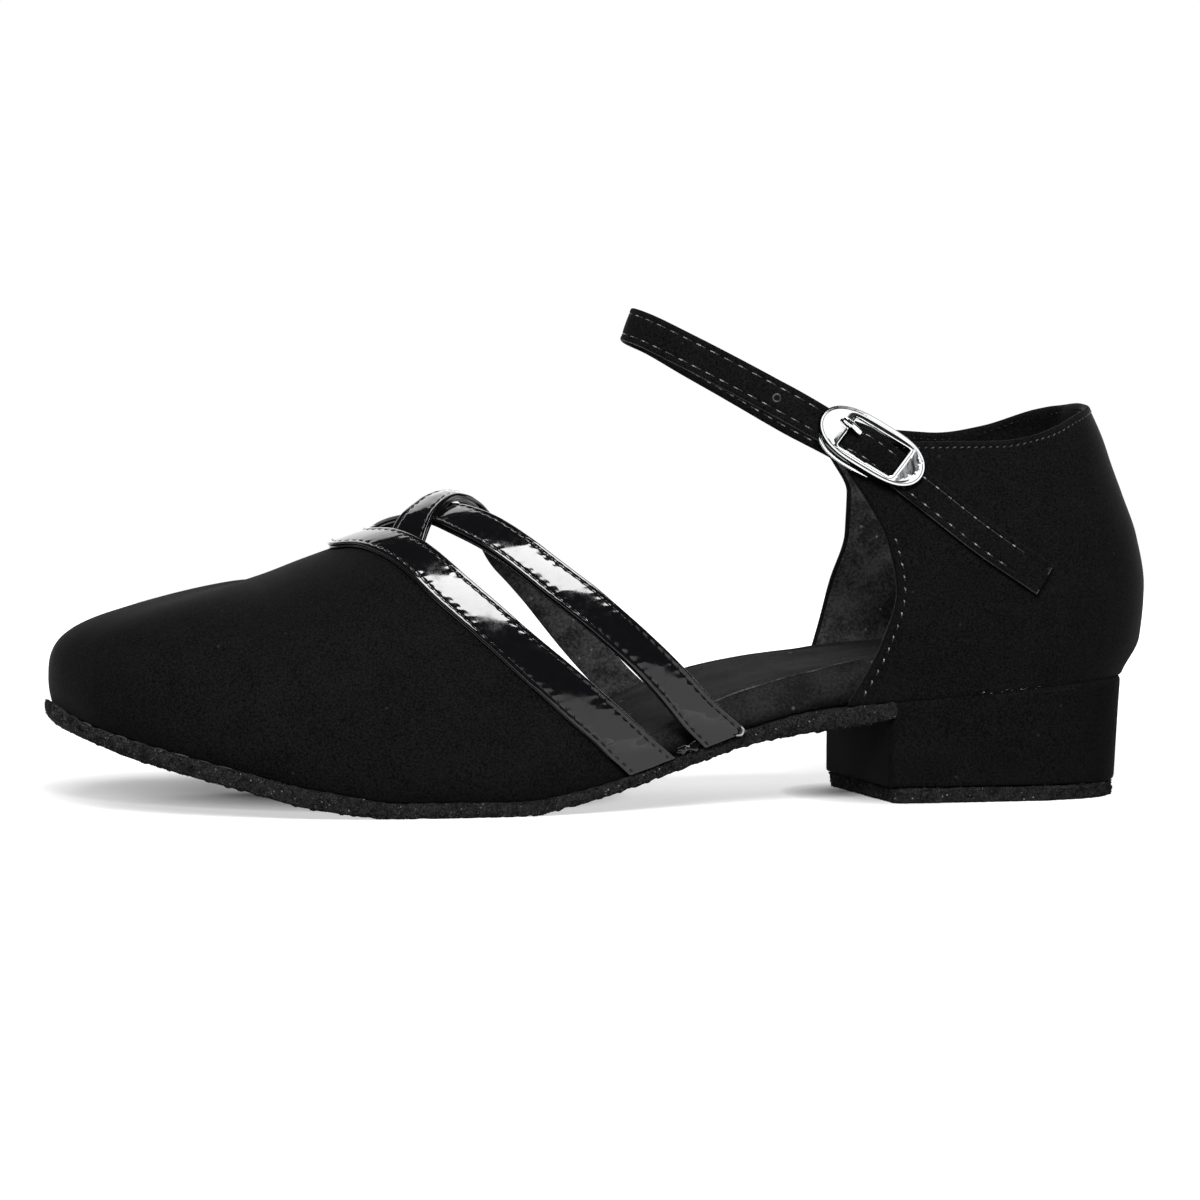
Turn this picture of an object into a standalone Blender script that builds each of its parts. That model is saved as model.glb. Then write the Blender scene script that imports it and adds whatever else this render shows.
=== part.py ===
# Women's dance shoe for the left foot: closed toe, open waist, low block heel,
# patent topline band, two straps crossed over the instep and a buckled ankle strap.
# The toe points to -X, the lateral side to -Y, and the shoe stands on z = 0.
import math

import bmesh
import bpy
import numpy as np
from mathutils import Matrix, Vector

# Driving dimensions, in millimetres; stations run from the toe tip, x = 0, to the back of the heel.
MM = 0.001
SHOE_LENGTH = 248.8
GAP = 0.3                   # clearance between pieces that meet
VAMP_WALL = 1.6
QUARTER_WALL = 2.0
PATENT_THICK = 1.4
STRAP_THICK = 1.9
BAND_WIDTH = 9.0
CROSS_STRAP_WIDTH = 8.6
ANKLE_STRAP_WIDTH = 7.6
ANKLE_STRAP_THICK = 1.6
SOLE_EDGE_ROUND = 0.7
SOLE_END = 184.0            # outsole ends against the heel breast
HEEL_BREAST = 184.6
HEEL_BACK = 241.8
HEEL_HALF_WIDTH = 27.4
HEEL_CORNER = 1.5
TOP_PIECE_THICK = 3.2
TOP_PIECE_PROUD = 0.5
PIVOT_X = 45.0              # toe sections fan out from here
BELLY = 6.5                 # height of the widest level above the feather edge
BELLY_INSET = 0.4           # share of the flange left outside the widest level
SIDE_SHARE = 0.9            # share of a section's girth above the widest level
TOE_DROOP = 0.12            # fall of the vamp's ridge towards the toe
TOE_ROUND = 3.0             # roundness of the section through the toe tip
VAMP_EDGE_BACK = 0.8        # the band reaches this far past the vamp's cut edge
STRIPE_END = 0.985          # girth share at which the band and straps stop above the sole
QUARTER_WIDEST_X = 203.0
QUARTER_ROUND = 2.25
SEAT_LEVEL = 25.0           # heights at which the seat and the collar are read
COLLAR_LEVEL = 82.0
QUARTER_ROUND_SHARE = 0.55  # share of a level's columns on the round back
INSOLE_SHOULDER = 11.0
INSOLE_DISH = 0.5
INSOLE_UNDERCUT = 0.6       # the underside is this much narrower than the edge
INSOLE_EDGE_FALL = 1.2      # the edge line lies this far under the shoulder
INSOLE_EDGE_LEAST = 0.8
INSOLE_SEAT_LEVEL = 25.0    # height at which the insole's heel outline is read from the quarter
INSOLE_LEAN = 0.4           # backward lean of the heel end for each millimetre of height
INSOLE_FLARE = 0.005        # widening of the heel end for each millimetre of height
HEEL_TAPER_SIDE = 0.4       # the heel narrows downwards by this much
HEEL_TAPER_BACK = 0.8
HEEL_BACK_DEPTH = 1.05      # depth of the heel's round back as a share of its half width
HEEL_BACK_ROUND = 0.9
CROSS_LIFT = 0.25           # gap under the lower cross strap
OVER_LIFT = 0.45            # gap under the upper cross strap away from the crossing
CROSS_BITE = 0.5            # the straps are joined to this depth where they cross
CROSS_REACH = 0.16          # share of the girth over which the upper strap climbs
FRAME_LENGTH = 25.5
FRAME_WIDTH = 11.6
FRAME_THICK = 1.7
WINDOW_LENGTH = 14.0
WINDOW_WIDTH = 8.4
WINDOW_SHIFT = -0.8         # the window sits nearer the prong's rest
BAR_RADIUS = 0.7
BAR_SHIFT = -2.6            # the bar sits nearer the prong's rest too
PRONG_RADIUS = 0.65
HOLE_RADIUS = 1.1

# Outsole: edges in plan (y), underside height, thickness and the flange outside the upper.
SOLE_COLUMNS = ("x", "lateral", "medial", "under", "thick", "flange")
SOLE_ROWS = (
    (0.0, 5.0, 5.0, 20.6, 2.4, 3.0),
    (2.5, -7.0, 16.0, 18.9, 3.2, 3.0),
    (7.0, -17.0, 24.0, 15.9, 3.9, 3.0),
    (14.0, -25.0, 30.0, 12.8, 4.5, 3.0),
    (24.0, -32.0, 34.5, 9.8, 5.0, 3.0),
    (36.0, -37.0, 38.2, 6.7, 5.0, 3.0),
    (52.0, -41.0, 41.6, 3.0, 4.5, 3.0),
    (70.0, -42.8, 43.0, 0.0, 3.3, 2.9),
    (84.0, -43.0, 42.4, 0.0, 3.2, 2.7),
    (96.0, -42.4, 40.6, 0.0, 3.1, 2.5),
    (108.0, -41.0, 37.6, 2.0, 2.9, 2.2),
    (120.0, -38.8, 34.5, 5.1, 2.7, 1.8),
    (135.0, -35.4, 31.2, 9.7, 2.9, 1.3),
    (150.0, -31.9, 29.0, 13.9, 3.4, 1.0),
    (165.0, -29.4, 28.0, 16.8, 3.9, 1.0),
    (184.0, -28.0, 27.6, 19.2, 3.2, 1.0),
)

# Ridge of the last behind the pivot: height, side shift and roundness of the section.
RIDGE_COLUMNS = ("x", "crest", "shift", "round")
RIDGE_ROWS = (
    (45.0, 49.3, 3.0, 2.4),
    (50.0, 50.7, 2.6, 2.35),
    (57.0, 53.4, 2.0, 2.25),
    (70.0, 58.4, 1.0, 2.1),
    (82.0, 62.2, 0.3, 1.95),
    (96.0, 65.6, 0.0, 1.85),
    (112.0, 69.2, 0.0, 1.8),
    (128.0, 73.5, 0.0, 1.8),
    (150.0, 82.0, 0.0, 1.8),
)

# Topline of the vamp, and middle of a cross strap from its own side (negative) over the ridge:
# share of the girth from the ridge, station.
STRIPE_COLUMNS = ("x", "station")
TOPLINE_ROWS = (
    (0.0, 72.0),
    (0.08, 75.3),
    (0.2, 80.3),
    (0.4, 88.6),
    (0.53, 97.4),
    (0.72, 112.3),
    (0.85, 122.2),
    (1.0, 131.8),
)
CROSS_COLUMNS = ("x", "lateral", "medial")
CROSS_ROWS = (
    (-1.0, 143.4, 146.0),
    (-0.78, 128.8, 132.8),
    (-0.55, 112.2, 118.0),
    (-0.44, 104.6, 110.8),
    (-0.31, 97.4, 102.8),
    (-0.16, 91.2, 94.6),
    (0.0, 85.8, 87.2),
    (0.17, 79.8, 80.4),
)

# Seat line under the quarter and heel: station, height.
SEAT_COLUMNS = ("x", "height")
SEAT_ROWS = ((150.0, 17.3), (165.0, 20.7), (184.0, 22.4), (214.0, 24.8), (250.0, 27.6))

# Quarter: half width, back profile and the two front edges by height.
QUARTER_COLUMNS = ("x", "half", "back", "lateral", "medial")
QUARTER_ROWS = (
    (21.0, 26.8, 241.6, 173.5, 175.0),
    (27.0, 27.6, 243.2, 178.0, 177.8),
    (35.0, 29.2, 247.2, 182.5, 180.8),
    (47.0, 30.4, 248.8, 185.3, 184.5),
    (58.0, 30.1, 247.1, 183.2, 188.0),
    (67.0, 29.2, 243.8, 178.6, 188.2),
    (74.0, 28.4, 241.0, 173.8, 184.6),
    (80.0, 27.6, 238.8, 170.5, 180.0),
    (87.0, 26.4, 235.4, 169.0, 178.0),
)

# Collar height by station.
COLLAR_COLUMNS = ("x", "height")
COLLAR_ROWS = ((168.0, 81.0), (186.0, 80.0), (207.0, 80.1), (219.0, 82.2), (229.0, 85.4), (238.0, 87.4))

# Insole: thickness over the sole and seat, edge inset from the outsole edge, fall of the
# shoulders, rise of the medial arch.
INSOLE_COLUMNS = ("x", "thick", "inset", "drop", "arch")
INSOLE_ROWS = (
    (5.0, 2.6, 5.4, 0.6, 0.0),
    (40.0, 4.2, 5.4, 0.8, 0.0),
    (100.0, 4.6, 5.0, 0.8, 0.0),
    (122.0, 5.8, 4.6, 1.2, 0.4),
    (136.0, 7.2, 3.9, 2.6, 1.0),
    (150.0, 8.2, 2.2, 4.6, 1.4),
    (164.0, 8.4, 1.9, 5.0, 1.5),
    (172.5, 8.8, 4.4, 3.0, 1.3),
    (186.0, 9.2, 3.8, 1.2, 0.8),
    (240.0, 9.2, 3.8, 1.0, 0.0),
)

# Soft shoulder of the insole: share of the shoulder inwards from the edge, share of the fall.
SHOULDER_STEPS = ((0.12, 0.62), (0.4, 0.22), (1.0, 0.0))

# Middle line of the ankle strap from the medial quarter round the ankle to the tail.
ANKLE_COLUMNS = ("x", "y", "z", "tilt")
ANKLE_ROUTE = (
    (196.0, 30.4, 72.8, 30.0),
    (186.0, 30.0, 78.4, 29.0),
    (176.0, 29.3, 83.4, 28.0),
    (163.0, 27.0, 89.8, 27.0),
    (150.0, 21.5, 96.2, 25.0),
    (138.8, 12.8, 101.6, 23.0),
    (132.6, 5.6, 104.2, 20.0),
    (131.0, 0.0, 104.8, 19.0),
    (132.6, -5.6, 103.8, 20.0),
    (139.2, -13.4, 99.6, 23.0),
    (150.0, -21.4, 93.2, 27.0),
    (158.5, -25.6, 88.3, 29.0),
    (167.0, -28.4, 83.6, 30.0),
    (178.0, -29.5, 77.6, 30.0),
    (190.0, -30.3, 69.8, 33.0),
    (203.0, -31.2, 60.6, 36.0),
    (217.0, -31.8, 49.2, 38.0),
)
BUCKLE_POINT = 13           # row of the route under the middle of the buckle
BUCKLE_RISE = 2.6           # the strap climbs this far over the buckle's bar
BUCKLE_RISE_REACH = 6.0
HUG_STATIONS = (158.0, 170.0)   # the strap comes to lie on the quarter between these stations

# Prong in the buckle's directions, from beside the bar, through the strap, to its rest:
# along the strap, across it, outward.
PRONG_ROWS = (
    (-4.3, 1.0, 0.8),
    (-4.5, 1.1, 3.3),
    (-5.6, 1.3, 4.0),
    (-7.6, 1.6, 4.1),
    (-10.2, 2.0, 3.8),
)
PRONG_HOLE_ROW = 1          # row of the prong at the strap's hole
HOLE_DEPTH = 8.0

# Colours of the pieces: red, green, blue, roughness, metallic.
FINISHES = {
    "nubuck_black": (0.006, 0.006, 0.007, 0.85, 0.0),
    "patent_black": (0.004, 0.004, 0.005, 0.08, 0.0),
    "suede_sole": (0.016, 0.016, 0.017, 0.95, 0.0),
    "insole_suede": (0.018, 0.018, 0.020, 0.9, 0.0),
    "chrome": (0.85, 0.86, 0.88, 0.08, 1.0),
}


def slopes(stations, values):
    # Slopes that keep every stretch of the table monotone, so flats stay flat.
    step = np.diff(stations)
    rise = np.diff(values) / step
    result = np.zeros(len(values))
    for i in range(1, len(values) - 1):
        if rise[i - 1] * rise[i] > 0:
            before = 2 * step[i] + step[i - 1]
            after = step[i] + 2 * step[i - 1]
            result[i] = (before + after) / (before / rise[i - 1] + after / rise[i])
    result[0] = rise[0]
    result[-1] = rise[-1]
    return result


def smooth(stations, values, at):
    # Smooth curve through a column of a table.
    stations = np.asarray(stations, float)
    values = np.asarray(values, float)
    at = np.clip(at, stations[0], stations[-1])
    index = np.clip(np.searchsorted(stations, at, side="right") - 1, 0, len(stations) - 2)
    step = stations[index + 1] - stations[index]
    share = (at - stations[index]) / step
    slope = slopes(stations, values)
    start = values[index] * (1 + 2 * share) * (1 - share) ** 2
    end = values[index + 1] * share * share * (3 - 2 * share)
    leave = slope[index] * step * share * (1 - share) ** 2
    arrive = slope[index + 1] * step * share * share * (share - 1)
    return start + end + leave + arrive


def read(columns, rows, name, at):
    # A named column at a station.
    table = np.array(rows)
    return smooth(table[:, 0], table[:, columns.index(name)], at)


def sole(name, x):
    # Outsole column; stations are read by their square root, which keeps the toe round.
    table = np.array(SOLE_ROWS)
    return smooth(np.sqrt(table[:, 0]), table[:, SOLE_COLUMNS.index(name)], np.sqrt(np.maximum(x, 0.0)))


def sole_top(x):
    return sole("under", x) + sole("thick", x)


def ridge(name, x):
    return read(RIDGE_COLUMNS, RIDGE_ROWS, name, x)


def seat(x):
    return float(read(SEAT_COLUMNS, SEAT_ROWS, "height", x))


def inset_outline(side, share, extra=0.0):
    # The outsole edge of one side moved inwards by a share of the flange and an extra amount.
    root = np.linspace(0.0, math.sqrt(SOLE_END), 240)
    x = root * root
    y = sole(side, x)
    turn = 1.0 if side == "medial" else -1.0
    along_x = np.gradient(x, root)
    along_y = np.gradient(y, root)
    length = np.hypot(along_x, along_y)
    inset = share * sole("flange", x) + extra
    return x + turn * along_y / length * inset, y - turn * along_x / length * inset


WIDEST = {side: inset_outline(side, BELLY_INSET) for side in ("lateral", "medial")}
FEATHER = {side: inset_outline(side, 1.0) for side in ("lateral", "medial")}


def edge_y(outline, x):
    return float(np.interp(x, outline[0], outline[1]))


def section_point(top, wide, feather, roundness, droop, share):
    # Point of a section of the last at a share of its girth from the ridge to the feather edge.
    top, wide, feather = Vector(top), Vector(wide), Vector(feather)
    if share > SIDE_SHARE:
        tuck = (share - SIDE_SHARE) / (1.0 - SIDE_SHARE)
        plan = wide.lerp(feather, tuck * tuck)
        plan.z = wide.z + (feather.z - wide.z) * tuck
        return plan
    angle = share / SIDE_SHARE * math.pi / 2
    out = math.sin(angle) ** (2.0 / roundness)
    up = max(math.cos(angle), 0.0) ** (2.0 / roundness)
    plan = top.lerp(wide, out)
    reach = (wide - top).xy.length * out
    plan.z = wide.z + (top.z - droop * reach * (2.0 - out) - wide.z) * up
    return plan


def last_point(x, girth):
    # The last behind the pivot; girth runs from -1, lateral feather edge, over 0, ridge, to 1.
    side = "medial" if girth > 0 else "lateral"
    base = float(sole_top(x)) + GAP
    top = (x, float(ridge("shift", x)), float(ridge("crest", x)))
    wide = (x, edge_y(WIDEST[side], x), base + BELLY)
    feather = (x, edge_y(FEATHER[side], x), base)
    return section_point(top, wide, feather, float(ridge("round", x)), 0.0, abs(girth))


def toe_point(side, root, share):
    # The last in front of the pivot, on sections that fan out from it.
    top = Vector((PIVOT_X, float(ridge("shift", PIVOT_X)), float(ridge("crest", PIVOT_X))))
    spot = {}
    for level, outline in (("wide", WIDEST[side]), ("feather", FEATHER[side])):
        tip = outline[0][0]
        x = tip + (PIVOT_X - tip) * root * root
        spot[level] = Vector((x, edge_y(outline, x), float(sole_top(x)) + GAP))
    spot["wide"].z = spot["feather"].z + BELLY
    away = (spot["wide"] - top).xy
    ahead = (away.x / away.length) ** 2
    droop = TOE_DROOP * ahead
    roundness = float(ridge("round", PIVOT_X)) * (1 - ahead) + TOE_ROUND * ahead
    return section_point(top, spot["wide"], spot["feather"], roundness, droop, share)


def last_normal(x, girth):
    # Outward normal of the last.
    step = 0.01
    along = last_point(x + step, girth) - last_point(x - step, girth)
    around = last_point(x, girth + step) - last_point(x, girth - step)
    return along.cross(around).normalized()


def quarter_point(column, level):
    # The quarter; column runs from -1, lateral front edge, round the back to 1; level is 0 to 1.
    turn = abs(column)
    side = "lateral" if column < 0 else "medial"
    low = seat(quarter_plan(turn, SEAT_LEVEL, side)[0]) + GAP
    high = float(read(COLLAR_COLUMNS, COLLAR_ROWS, "height", quarter_plan(turn, COLLAR_LEVEL, side)[0]))
    z = low + (high - low) * level
    x, half = quarter_plan(turn, z, side)
    return Vector((x, half if column > 0 else -half, z))


def quarter_plan(turn, z, side):
    # Station and half width on one level of the quarter.
    half = float(read(QUARTER_COLUMNS, QUARTER_ROWS, "half", z))
    back = float(read(QUARTER_COLUMNS, QUARTER_ROWS, "back", z))
    front = float(read(QUARTER_COLUMNS, QUARTER_ROWS, side, z))
    if turn <= QUARTER_ROUND_SHARE:
        angle = turn / QUARTER_ROUND_SHARE * math.pi / 2
        x = QUARTER_WIDEST_X + (back - QUARTER_WIDEST_X) * max(math.cos(angle), 0.0) ** (2 / QUARTER_ROUND)
        return x, half * math.sin(angle) ** (2 / QUARTER_ROUND)
    share = (turn - QUARTER_ROUND_SHARE) / (1 - QUARTER_ROUND_SHARE)
    return QUARTER_WIDEST_X + (front - QUARTER_WIDEST_X) * share, half


def quarter_half_width(x, z, inset=0.0):
    # Half width of the quarter's outside, moved inwards, at a station and height.
    half = float(read(QUARTER_COLUMNS, QUARTER_ROWS, "half", z)) - inset
    back = float(read(QUARTER_COLUMNS, QUARTER_ROWS, "back", z)) - inset
    if x <= QUARTER_WIDEST_X:
        return half
    share = min((x - QUARTER_WIDEST_X) / (back - QUARTER_WIDEST_X), 1.0)
    return half * (1 - share ** QUARTER_ROUND) ** (1 / QUARTER_ROUND)


def to_world(point):
    # Shoe millimetres to metres, with the origin under the middle of the shoe.
    return Vector((point[0] - SHOE_LENGTH / 2, point[1], point[2])) * MM


def finish(name):
    # Material of a piece, made once.
    material = bpy.data.materials.get(name)
    if material is None:
        material = bpy.data.materials.new(name)
        material.use_nodes = True
        shader = material.node_tree.nodes["Principled BSDF"]
        red, green, blue, roughness, metallic = FINISHES[name]
        shader.inputs["Base Color"].default_value = (red, green, blue, 1.0)
        shader.inputs["Roughness"].default_value = roughness
        shader.inputs["Metallic"].default_value = metallic
    return material


def add_object(name, mesh, material, collection):
    # Object with its material, in its collection.
    piece = bpy.data.objects.new(name, mesh)
    collection.objects.link(piece)
    mesh.materials.clear()
    mesh.materials.append(finish(material))
    mesh.shade_smooth()
    mesh.set_sharp_from_angle(angle=math.radians(40))
    return piece


def mesh_of_grids(name, grids):
    # Open surface from grids of points; grids that share an edge are welded there.
    build = bmesh.new()
    for grid in grids:
        rows = [[build.verts.new(to_world(point)) for point in row] for row in grid]
        for first, second in zip(rows, rows[1:]):
            for k in range(len(first) - 1):
                build.faces.new((first[k], first[k + 1], second[k + 1], second[k]))
    bmesh.ops.remove_doubles(build, verts=build.verts, dist=0.00002)
    mesh = bpy.data.meshes.new(name)
    build.to_mesh(mesh)
    build.free()
    return mesh


def mesh_of_rings(name, rings):
    # Closed loft through rings of equal count, capped at both ends.
    build = bmesh.new()
    loops = [[build.verts.new(to_world(point)) for point in ring] for ring in rings]
    for first, second in zip(loops, loops[1:]):
        for k in range(len(first)):
            after = (k + 1) % len(first)
            build.faces.new((first[k], first[after], second[after], second[k]))
    build.faces.new(loops[0])
    build.faces.new(loops[-1])
    bmesh.ops.recalc_face_normals(build, faces=build.faces)
    mesh = bpy.data.meshes.new(name)
    build.to_mesh(mesh)
    build.free()
    return mesh


def solidify(piece, thickness, offset):
    # Wall of a shell; offset -1 grows inwards and 1 outwards.
    shell = piece.modifiers.new("wall", "SOLIDIFY")
    shell.thickness = thickness * MM
    shell.offset = offset
    shell.use_quality_normals = True
    return shell


def evaluated_mesh(piece):
    # Mesh of an object with its modifiers, welded.
    graph = bpy.context.evaluated_depsgraph_get()
    mesh = bpy.data.meshes.new_from_object(piece.evaluated_get(graph))
    build = bmesh.new()
    build.from_mesh(mesh)
    bmesh.ops.remove_doubles(build, verts=build.verts, dist=0.00001)
    build.to_mesh(mesh)
    build.free()
    return mesh


def boolean(piece, other, operation):
    cut = piece.modifiers.new(operation.lower(), "BOOLEAN")
    cut.operation = operation
    cut.solver = "EXACT"
    cut.object = other


def as_cutter(piece):
    piece.hide_render = True
    piece.display_type = "WIRE"


# Sole, heel and insole

def sole_ring(x):
    # Section of the outsole with eased edges.
    low, thick = float(sole("under", x)), float(sole("thick", x))
    left, right = float(sole("lateral", x)), float(sole("medial", x))
    ease = min(SOLE_EDGE_ROUND, (right - left) / 4)
    high = low + thick
    return [
        (x, left + ease, low), (x, right - ease, low),
        (x, right, low + thick / 3), (x, right, high - thick / 3),
        (x, right - ease, high), (x, left + ease, high),
        (x, left, high - thick / 3), (x, left, low + thick / 3),
    ]


def build_outsole(collection):
    toe = [0.1, 0.5, 1.2, 2.2, 3.5, 5.2, 7.3, 9.8, 12.8, 16.4, 20.6, 25.5, 31.5, 38.5, 46.0, 54.0, 62.0]
    flat = [70.0, 77.0, 84.0, 90.0, 96.0]
    waist = list(np.linspace(102.0, SOLE_END, 13))
    mesh = mesh_of_rings("outsole", [sole_ring(x) for x in toe + flat + waist])
    return add_object("outsole", mesh, "suede_sole", collection)


def heel_outline(half, back, proud):
    # Plan of the heel: straight breast, straight sides and a round back.
    front = HEEL_BREAST - proud
    half = half + proud
    back = back + proud
    middle = back - half * HEEL_BACK_DEPTH
    points = [(front + HEEL_CORNER, -half)]
    for angle in np.linspace(-math.pi / 2, math.pi / 2, 21):
        x = middle + (back - middle) * math.cos(angle) ** HEEL_BACK_ROUND
        points.append((x, half * math.copysign(abs(math.sin(angle)) ** HEEL_BACK_ROUND, angle)))
    points.append((front + HEEL_CORNER, half))
    points.append((front, half - HEEL_CORNER))
    points.append((front, -half + HEEL_CORNER))
    return points


def heel_foot(proud):
    # Plan of the heel's lower end.
    return heel_outline(HEEL_HALF_WIDTH - HEEL_TAPER_SIDE, HEEL_BACK - HEEL_TAPER_BACK, proud)


def build_heel(collection):
    low = [(x, y, TOP_PIECE_THICK + GAP) for x, y in heel_foot(0.0)]
    high = [(x, y, seat(x)) for x, y in heel_outline(HEEL_HALF_WIDTH, HEEL_BACK, 0.0)]
    middle = [tuple((Vector(a) + Vector(b)) / 2) for a, b in zip(low, high)]
    mesh = mesh_of_rings("heel", [low, middle, high])
    return add_object("heel", mesh, "nubuck_black", collection)


def build_top_piece(collection):
    outline = heel_foot(TOP_PIECE_PROUD)
    rings = [[(x, y, z) for x, y in outline] for z in (0.0, TOP_PIECE_THICK)]
    mesh = mesh_of_rings("top_piece", rings)
    return add_object("top_piece", mesh, "suede_sole", collection)


def insole(name, x):
    return float(read(INSOLE_COLUMNS, INSOLE_ROWS, name, x))


def insole_edges(x):
    # Lateral and medial edge of the insole, inside the vamp, the waist or the quarter.
    if x <= HEEL_BREAST - 6:
        inset = insole("inset", x)
        return tuple(edge_y(inset_outline(side, 0.0, inset), x) for side in ("lateral", "medial"))
    half = quarter_half_width(x, INSOLE_SEAT_LEVEL, QUARTER_WALL + 2 * GAP)
    return -half, half


def insole_ring(x):
    # Section of the padded insole: flat underneath, soft shoulders, slightly dished top.
    low = (float(sole_top(x)) if x < SOLE_END else seat(x)) + GAP
    left, right = insole_edges(x)
    thick, drop = insole("thick", x), insole("drop", x)
    shoulder = min(INSOLE_SHOULDER, (right - left) / 3)
    lateral_top = low + thick
    medial_top = lateral_top + insole("arch", x)
    edge = low + max(thick - drop - INSOLE_EDGE_FALL, INSOLE_EDGE_LEAST)
    ring = [(x, left + INSOLE_UNDERCUT, low), (x, right - INSOLE_UNDERCUT, low), (x, right, edge)]
    for inward, fall in SHOULDER_STEPS:
        ring.append((x, right - shoulder * inward, medial_top - drop * fall))
    ring.append((x, (left + right) / 2, (lateral_top + medial_top) / 2 - INSOLE_DISH))
    for inward, fall in reversed(SHOULDER_STEPS):
        ring.append((x, left + shoulder * inward, lateral_top - drop * fall))
    ring.append((x, left, edge))
    return [lean_insole(point, low) for point in ring]


def lean_insole(point, low):
    # The heel end follows the quarter, which widens upwards and leans back.
    x, y, z = point
    within = min(max((x - HEEL_BREAST) / (QUARTER_WIDEST_X - HEEL_BREAST), 0.0), 1.0)
    behind = min(max((x - QUARTER_WIDEST_X) / (HEEL_BACK - QUARTER_WIDEST_X), 0.0), 1.0)
    up = z - low
    return x + INSOLE_LEAN * behind * up, y * (1.0 + INSOLE_FLARE * within * up), z


def build_insole(collection):
    front = [5.9, 7.2, 9.5, 13.0, 18.0, 25.0, 34.0, 46.0, 60.0, 74.0, 88.0, 102.0]
    waist = [112.0, 120.0, 128.0, 136.0, 143.0, 150.0, 158.0, 164.0, 168.5, 172.5, 178.0]
    end = float(read(QUARTER_COLUMNS, QUARTER_ROWS, "back", INSOLE_SEAT_LEVEL)) - QUARTER_WALL - 2 * GAP
    back = [184.5, 194.0, QUARTER_WIDEST_X]
    for share in (0.25, 0.48, 0.66, 0.8, 0.9, 0.96, 0.99, 0.9985):
        back.append(QUARTER_WIDEST_X + (end - QUARTER_WIDEST_X) * share)
    mesh = mesh_of_rings("insole", [insole_ring(x) for x in front + waist + back])
    return add_object("insole", mesh, "insole_suede", collection)


# Upper

def topline(girth):
    # Both sides are read as one table, so the line turns smoothly at the ridge.
    mirrored = tuple((-share, x) for share, x in TOPLINE_ROWS[:0:-1])
    return float(read(STRIPE_COLUMNS, mirrored + TOPLINE_ROWS, "station", girth))


def build_vamp(collection):
    toe_steps, back_steps = 9, 9
    shares = [0.0, 0.1, 0.2, 0.3, 0.4, 0.5, 0.6, 0.7, 0.8, 0.9, 0.95, 1.0]
    fan = []
    for k in range(toe_steps, 0, -1):
        fan.append([toe_point("medial", k / toe_steps, share) for share in shares])
    for k in range(toe_steps + 1):
        fan.append([toe_point("lateral", k / toe_steps, share) for share in shares])
    girths = [-share for share in shares[:0:-1]] + shares
    back = []
    for k in range(back_steps + 1):
        row = []
        for girth in girths:
            x = PIVOT_X + (topline(girth) - VAMP_EDGE_BACK - PIVOT_X) * k / back_steps
            row.append(last_point(x, girth))
        back.append(row[::-1])
    piece = add_object("vamp", mesh_of_grids("vamp", [fan, back]), "nubuck_black", collection)
    solidify(piece, VAMP_WALL, -1.0)
    return piece


def stripe_grid(girths, station, low_side, high_side, lift):
    # Strip of the last's surface along station(girth), raised by lift(girth).
    grid = []
    for girth in girths:
        x = station(girth)
        step = 0.01
        along = last_point(x + step, girth) - last_point(x - step, girth)
        ahead = last_point(station(girth + step), girth + step)
        behind = last_point(station(girth - step), girth - step)
        run = (ahead - behind).normalized()
        square = (along - run * along.dot(run)).length / (2 * step)
        row = []
        for share in (0.0, 1 / 3, 2 / 3, 1.0):
            offset = (low_side + (high_side - low_side) * share) / square
            spot = last_point(x + offset, girth)
            row.append(spot + last_normal(x + offset, girth) * lift(girth))
        grid.append(row)
    return grid


def band_grid():
    girths = np.linspace(-STRIPE_END, STRIPE_END, 33)
    return stripe_grid(girths, topline, -BAND_WIDTH, 0.0, lambda girth: GAP)


def cross_grid(side, lift):
    # A cross strap from its own side, over the ridge, to the other half of the band.
    name = "lateral" if side < 0 else "medial"

    def station(girth):
        return float(read(CROSS_COLUMNS, CROSS_ROWS, name, girth * -side))

    girths = np.linspace(side * STRIPE_END, -side * CROSS_ROWS[-1][0], 25)
    half = CROSS_STRAP_WIDTH / 2
    grid = stripe_grid(girths, station, -half, half, lift)
    return grid if side < 0 else grid[::-1]


def build_patent_straps(collection, cutters):
    def under(girth):
        return GAP + CROSS_LIFT

    def over(girth):
        return GAP + OVER_LIFT + (STRAP_THICK - CROSS_BITE) * math.exp(-(girth / CROSS_REACH) ** 2)

    mesh = mesh_of_grids("patent_straps", [band_grid()])
    band = add_object("patent_straps", mesh, "patent_black", collection)
    solidify(band, PATENT_THICK, 1.0)
    for name, side, lift in (("lateral_strap", -1, under), ("medial_strap", 1, over)):
        strap = add_object(name, mesh_of_grids(name, [cross_grid(side, lift)]), "patent_black", cutters)
        solidify(strap, STRAP_THICK, 1.0)
        as_cutter(strap)
        boolean(band, strap, "UNION")
    return band


def build_quarter(collection):
    columns = np.linspace(-1.0, 1.0, 37)
    levels = np.linspace(0.0, 1.0, 12)
    grid = [[quarter_point(column, level) for column in columns] for level in levels]
    piece = add_object("quarter", mesh_of_grids("quarter", [grid]), "nubuck_black", collection)
    solidify(piece, QUARTER_WALL, -1.0)
    return piece


# Ankle strap and buckle

def ankle_samples(steps):
    # Smooth route of the ankle strap: points and tilts, by length along the table's polyline.
    table = np.array(ANKLE_ROUTE)
    run = np.concatenate([[0.0], np.cumsum(np.linalg.norm(np.diff(table[:, :3], axis=0), axis=1))])
    at = np.linspace(0.0, run[-1], steps)
    spread = []
    for name in ANKLE_COLUMNS:
        spread.append(round_curve(run, table[:, ANKLE_COLUMNS.index(name)], at))
    return at - run[BUCKLE_POINT], np.array(spread).T


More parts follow.
